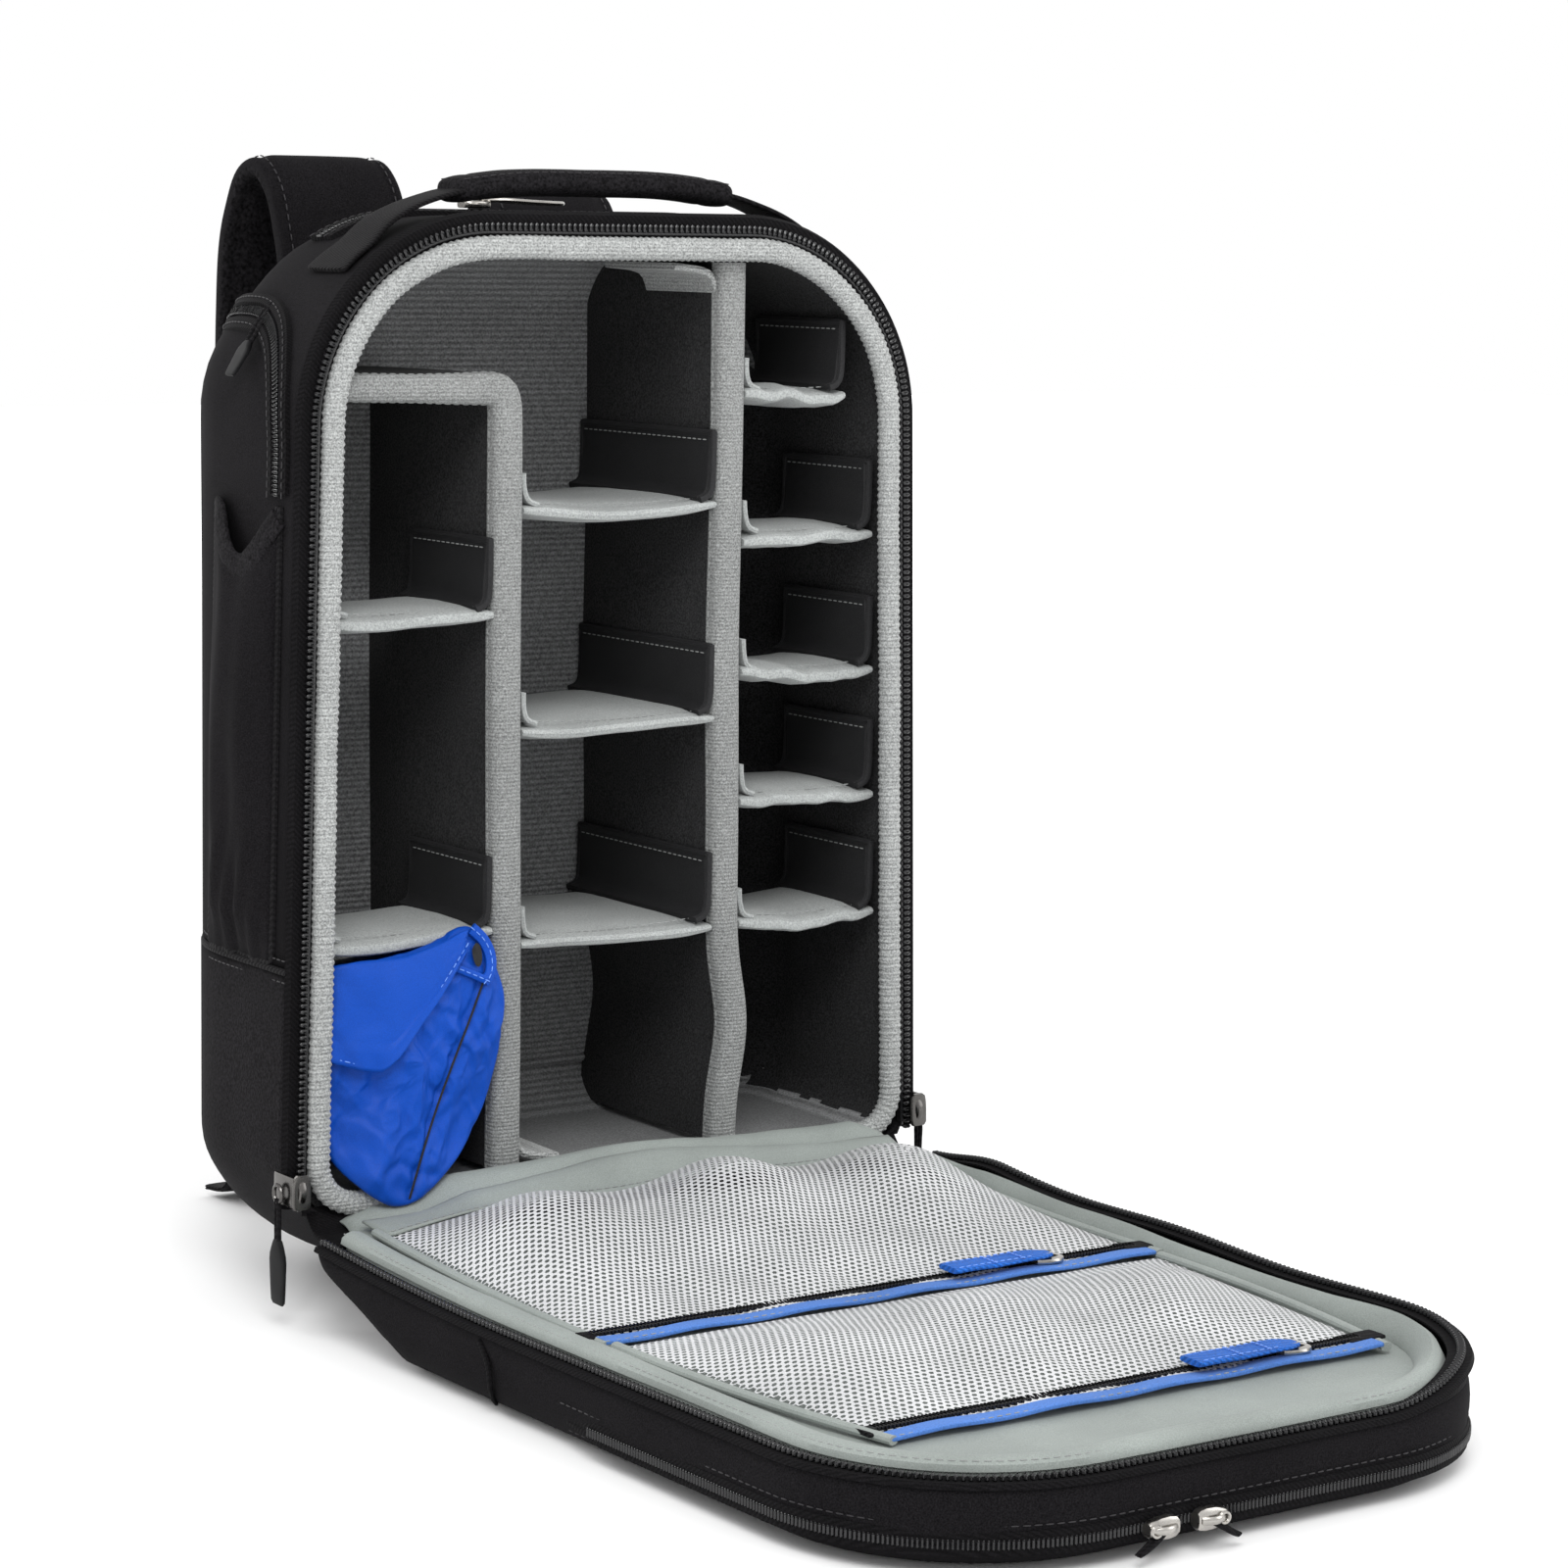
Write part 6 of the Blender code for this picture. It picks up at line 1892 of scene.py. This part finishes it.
def make_top_zip():
    """The zipper that arches over the top pocket, its slider with a ring, and the side zips with their pull."""
    for sign, word in SIDES:
        make_side_zip(sign, word)
    line = resample(arch(CASE_OUT + 0.0012, 0.372), 0.003)
    y = 0.0040
    path = np.column_stack([line[:, 0], np.full(len(line), y), line[:, 1]])
    path = path[np.abs(path[:, 0]) < 0.100]
    t = tangents(path)
    out = np.column_stack([path[:, 0], np.zeros(len(path)), path[:, 2] - RIM_ARC_Z])
    out[:, 0] = np.sign(path[:, 0]) * np.maximum(np.abs(path[:, 0]) - RIM_ARC_X, 0.0)
    out[:, 2] = np.maximum(out[:, 2], 0.0)
    out += np.array((0, 0, 1e-6))
    out /= np.linalg.norm(out, axis=1)[:, None]
    side = np.cross(t, out)
    rings = []
    for p, s, l in zip(path, side, out):
        rings.append([p + u * s + v * l for u, v in ((-0.0085, -0.0016), (-0.0078, 0.0006), (-0.0030, 0.0010),
                                                     (-0.0022, 0.0003),
                                                    (0.0022, 0.0003), (0.0030, 0.0010), (0.0078, 0.0006),
                                                     (0.0085, -0.0016))])
    verts, faces = loft(rings)
    tape = piece("top_zip_tape", verts, faces, "tape", "case")
    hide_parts("top_zip_chain")
    spots = resample(path + out * 0.0007, 1.6 * MM)
    keep = np.linspace(0, len(path) - 1, len(spots))
    at = np.column_stack([np.interp(keep, np.arange(len(path)), out[:, k]) for k in range(3)])
    tt = tangents(spots)
    ss = np.cross(tt, at)
    tooth = soft_box((1.05 * MM, 4.2 * MM, 1.5 * MM), 0.8)
    verts, faces = copies(tooth, spots, tt, ss, at)
    slotted("top_zip_teeth", verts, faces, "coil", "case")
    for u in (-0.0056, 0.0056):
        row = path + side * u + out * 0.0011
        sewn("top_zip_stitches_%s" % ("front" if u < 0 else "back"), row, UP_AXIS, "dark_thread", "case", 2.6, 1.2,
             0.26)
    (x0, y0, z0), (x1, y1, z1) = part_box("top_zip_slider")
    centre = np.array(((x0 + x1) / 2, (y0 + y1) / 2, (z0 + z1) / 2))
    small_slider("top_slider_metal", "top_zip_slider", centre, (-1, 0, 0), (0, 0, 1),
                 (x1 - x0, (y1 - y0) * 0.8, z1 - z0))
    ring = spline_points([centre + np.array(p) for p in ((0.004, 0, 0.0016), (0.010, -0.005, 0.0018),
                                                         (0.022, -0.0085, 0.0012), (0.034, -0.008, 0.0008),
                          (0.040, 0.0, 0.0008), (0.034, 0.007, 0.0008), (0.022, 0.006, 0.0012),
                                                         (0.010, 0.003, 0.0018), (0.004, 0, 0.0016))], 0.0016)
    verts, faces = swept(ring, UP_AXIS, ellipse(0.0011, 0.0009, 8))
    slotted("top_slider_ring", verts, faces, "nickel", "top_zip_slider")
    (x0, y0, z0), (x1, y1, z1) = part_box("side_zip_pull")
    top = np.array((x1 - 0.002, (y0 + y1) / 2, z1 - 0.005))
    foot = np.array((x0 + 0.001, (y0 + y1) / 2, z0 + 0.001))
    along = (foot - top) / np.linalg.norm(foot - top)
    out = np.cross(along, (0, 1, 0))
    out = out if out[0] < 0 else -out
    cord_parts = []
    for y in (-0.0016, 0.0016):
        cord = spline_points([top + np.array((0, y * 0.4, 0)), top + along * 0.006 + np.array((0, y, 0)),
                              top + along * 0.014 + np.array((0, y * 1.2, 0)), top + along * 0.019
                              + np.array((0, y * 0.8, 0))], 0.0015)
        cord_parts.append(swept(cord, (0, 1, 0), ellipse(0.0010, 0.0010, 8)))
    verts, faces = merged(cord_parts)
    slotted("side_pull_cord", verts, faces, "webbing", "side_zip_pull")
    verts, faces = pull_end(top + along * 0.017, along, np.array((0, 1.0, 0)), 0.0155, 0.0044, 0.0026)
    end = piece("side_pull_end", verts, faces, "moulded", "side_zip_pull")
    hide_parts("side_zip_pull")


def pull_end(start, along, across, length, wide, thick):
    """A moulded zipper pull end: narrow at the cord, wider and rounded at the tip."""
    lift = np.cross(along, across)
    rings = []
    for s, w, h in ((0.0, 0.30, 0.55), (0.02, 0.42, 0.85), (0.10, 0.62, 1.0), (0.24, 0.92, 1.0), (0.34, 1.0, 0.92),
                    (0.55, 0.97, 0.80), (0.80, 0.90, 0.76), (0.95, 0.84, 0.68), (1.0, 0.66, 0.40)):
        p = start + along * length * s
        rings.append([p + u * across + v * lift for u, v in ellipse(wide * w, thick * h / 2, 16, 0.55)])
    return loft(rings)


def make_main_sliders():
    """The two big sliders at the foot of the rim, with hanging cord pulls."""
    for sign, word in SIDES:
        name, pull = "main_slider_" + word, "main_pull_" + word
        (x0, y0, z0), (x1, y1, z1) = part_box(name)
        zm = (z0 + z1) / 2
        edge = rim_half(zm)
        parts = []
        tilt = Matrix.Rotation(-sign * math.atan(SIDE_SLOPE), 3, "Y")
        turn = np.array(tilt)

        def place(v):
            return np.asarray(v) @ turn.T + np.array((sign * edge, 0.0, zm - (z1 - z0) * 0.10))

        def plate(x_in, x_out, y_low, y_high, high, taper):
            rings = []
            for s in np.linspace(-1, 1, 11):
                narrow = 1.0 - taper * max(0.0, s) ** 2 - 0.25 * max(0.0, abs(s) - 0.85) / 0.15
                a, b = (x_in + x_out) / 2, (x_out - x_in) / 2
                ring = [(sign * (a + u * b * narrow), (y_low + y_high) / 2 + v * (y_high - y_low) / 2,
                         s * high / 2) for u, v in ellipse(1.0, 1.0, 16, 0.5)]
                rings.append(place(ring))
            return loft(rings)

        tall = (z1 - z0) * 0.74
        parts.append(plate(-0.0016, 0.0064, y0 + 0.0003, y0 + 0.0022, tall, 0.22))
        parts.append(plate(0.0048, 0.0064, y0 + 0.0010, y1 - 0.0008, tall * 0.86, 0.0))
        bridge = [(sign * (0.0024), y0 + 0.0004 - 0.0022 * math.sin(math.pi * k) + 0.0014, (k - 0.5) * tall * 0.72)
                  for k in np.linspace(0, 1, 11)]
        bridge = place(bridge)
        parts.append(swept(bridge, (1, 0, 0), ellipse(0.0009, 0.0016, 8)))
        verts, faces = merged(parts)
        body = piece(name + "_metal", verts, faces, "steel", name)
        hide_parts(name)
        (x0, y0, z0), (x1, y1, z1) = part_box(pull)
        x, y = (x0 + x1) / 2, (y0 + y1) / 2
        ring = np.array([(x + 0.0001, y + 0.0030 * math.cos(a), z1 - 0.0030 + 0.0034 * math.sin(a))
                         for a in np.linspace(0, 2 * math.pi, 22)[:-1]])
        verts, faces = swept(ring, (1, 0, 0), ellipse(0.0008, 0.0008, 8), True)
        slotted(pull + "_ring", verts, faces, "steel", pull)
        cords = []
        for k in (-1, 1):
            cord = spline_points([(x, y + k * 0.0006, z1 - 0.0052), (x + k * 0.0004, y + k * 0.0019, z1 - 0.010),
                                  (x + k * 0.0004, y + k * 0.0017, z1 - 0.017),
                                  (x, y + k * 0.0010, z1 - 0.0225)], 0.0012)
            cords.append(swept(cord, (1, 0, 0), ellipse(0.0010, 0.0010, 8)))
        verts, faces = merged(cords)
        slotted(pull + "_cord", verts, faces, "webbing", pull)
        verts, faces = pull_end(np.array((x, y, z1 - 0.0205)), np.array((0, 0, -1.0)), np.array((0, 1.0, 0)),
                                z1 - 0.0205 - z0, (y1 - y0) / 2, x1 - x0)
        end = piece(pull + "_end", verts, faces, "moulded", pull)
        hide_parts(pull)


# ================================================================ build

make_camera()
make_studio()
make_materials()
make_case()
make_sill()
make_liner()
make_rim()
make_main_sliders()
make_handle()
make_straps()
make_back_pads()
make_side_pockets()
make_top_zip()
make_dividers()
make_shelves()
make_pouch()
make_panel()
keep_inner_nodes()
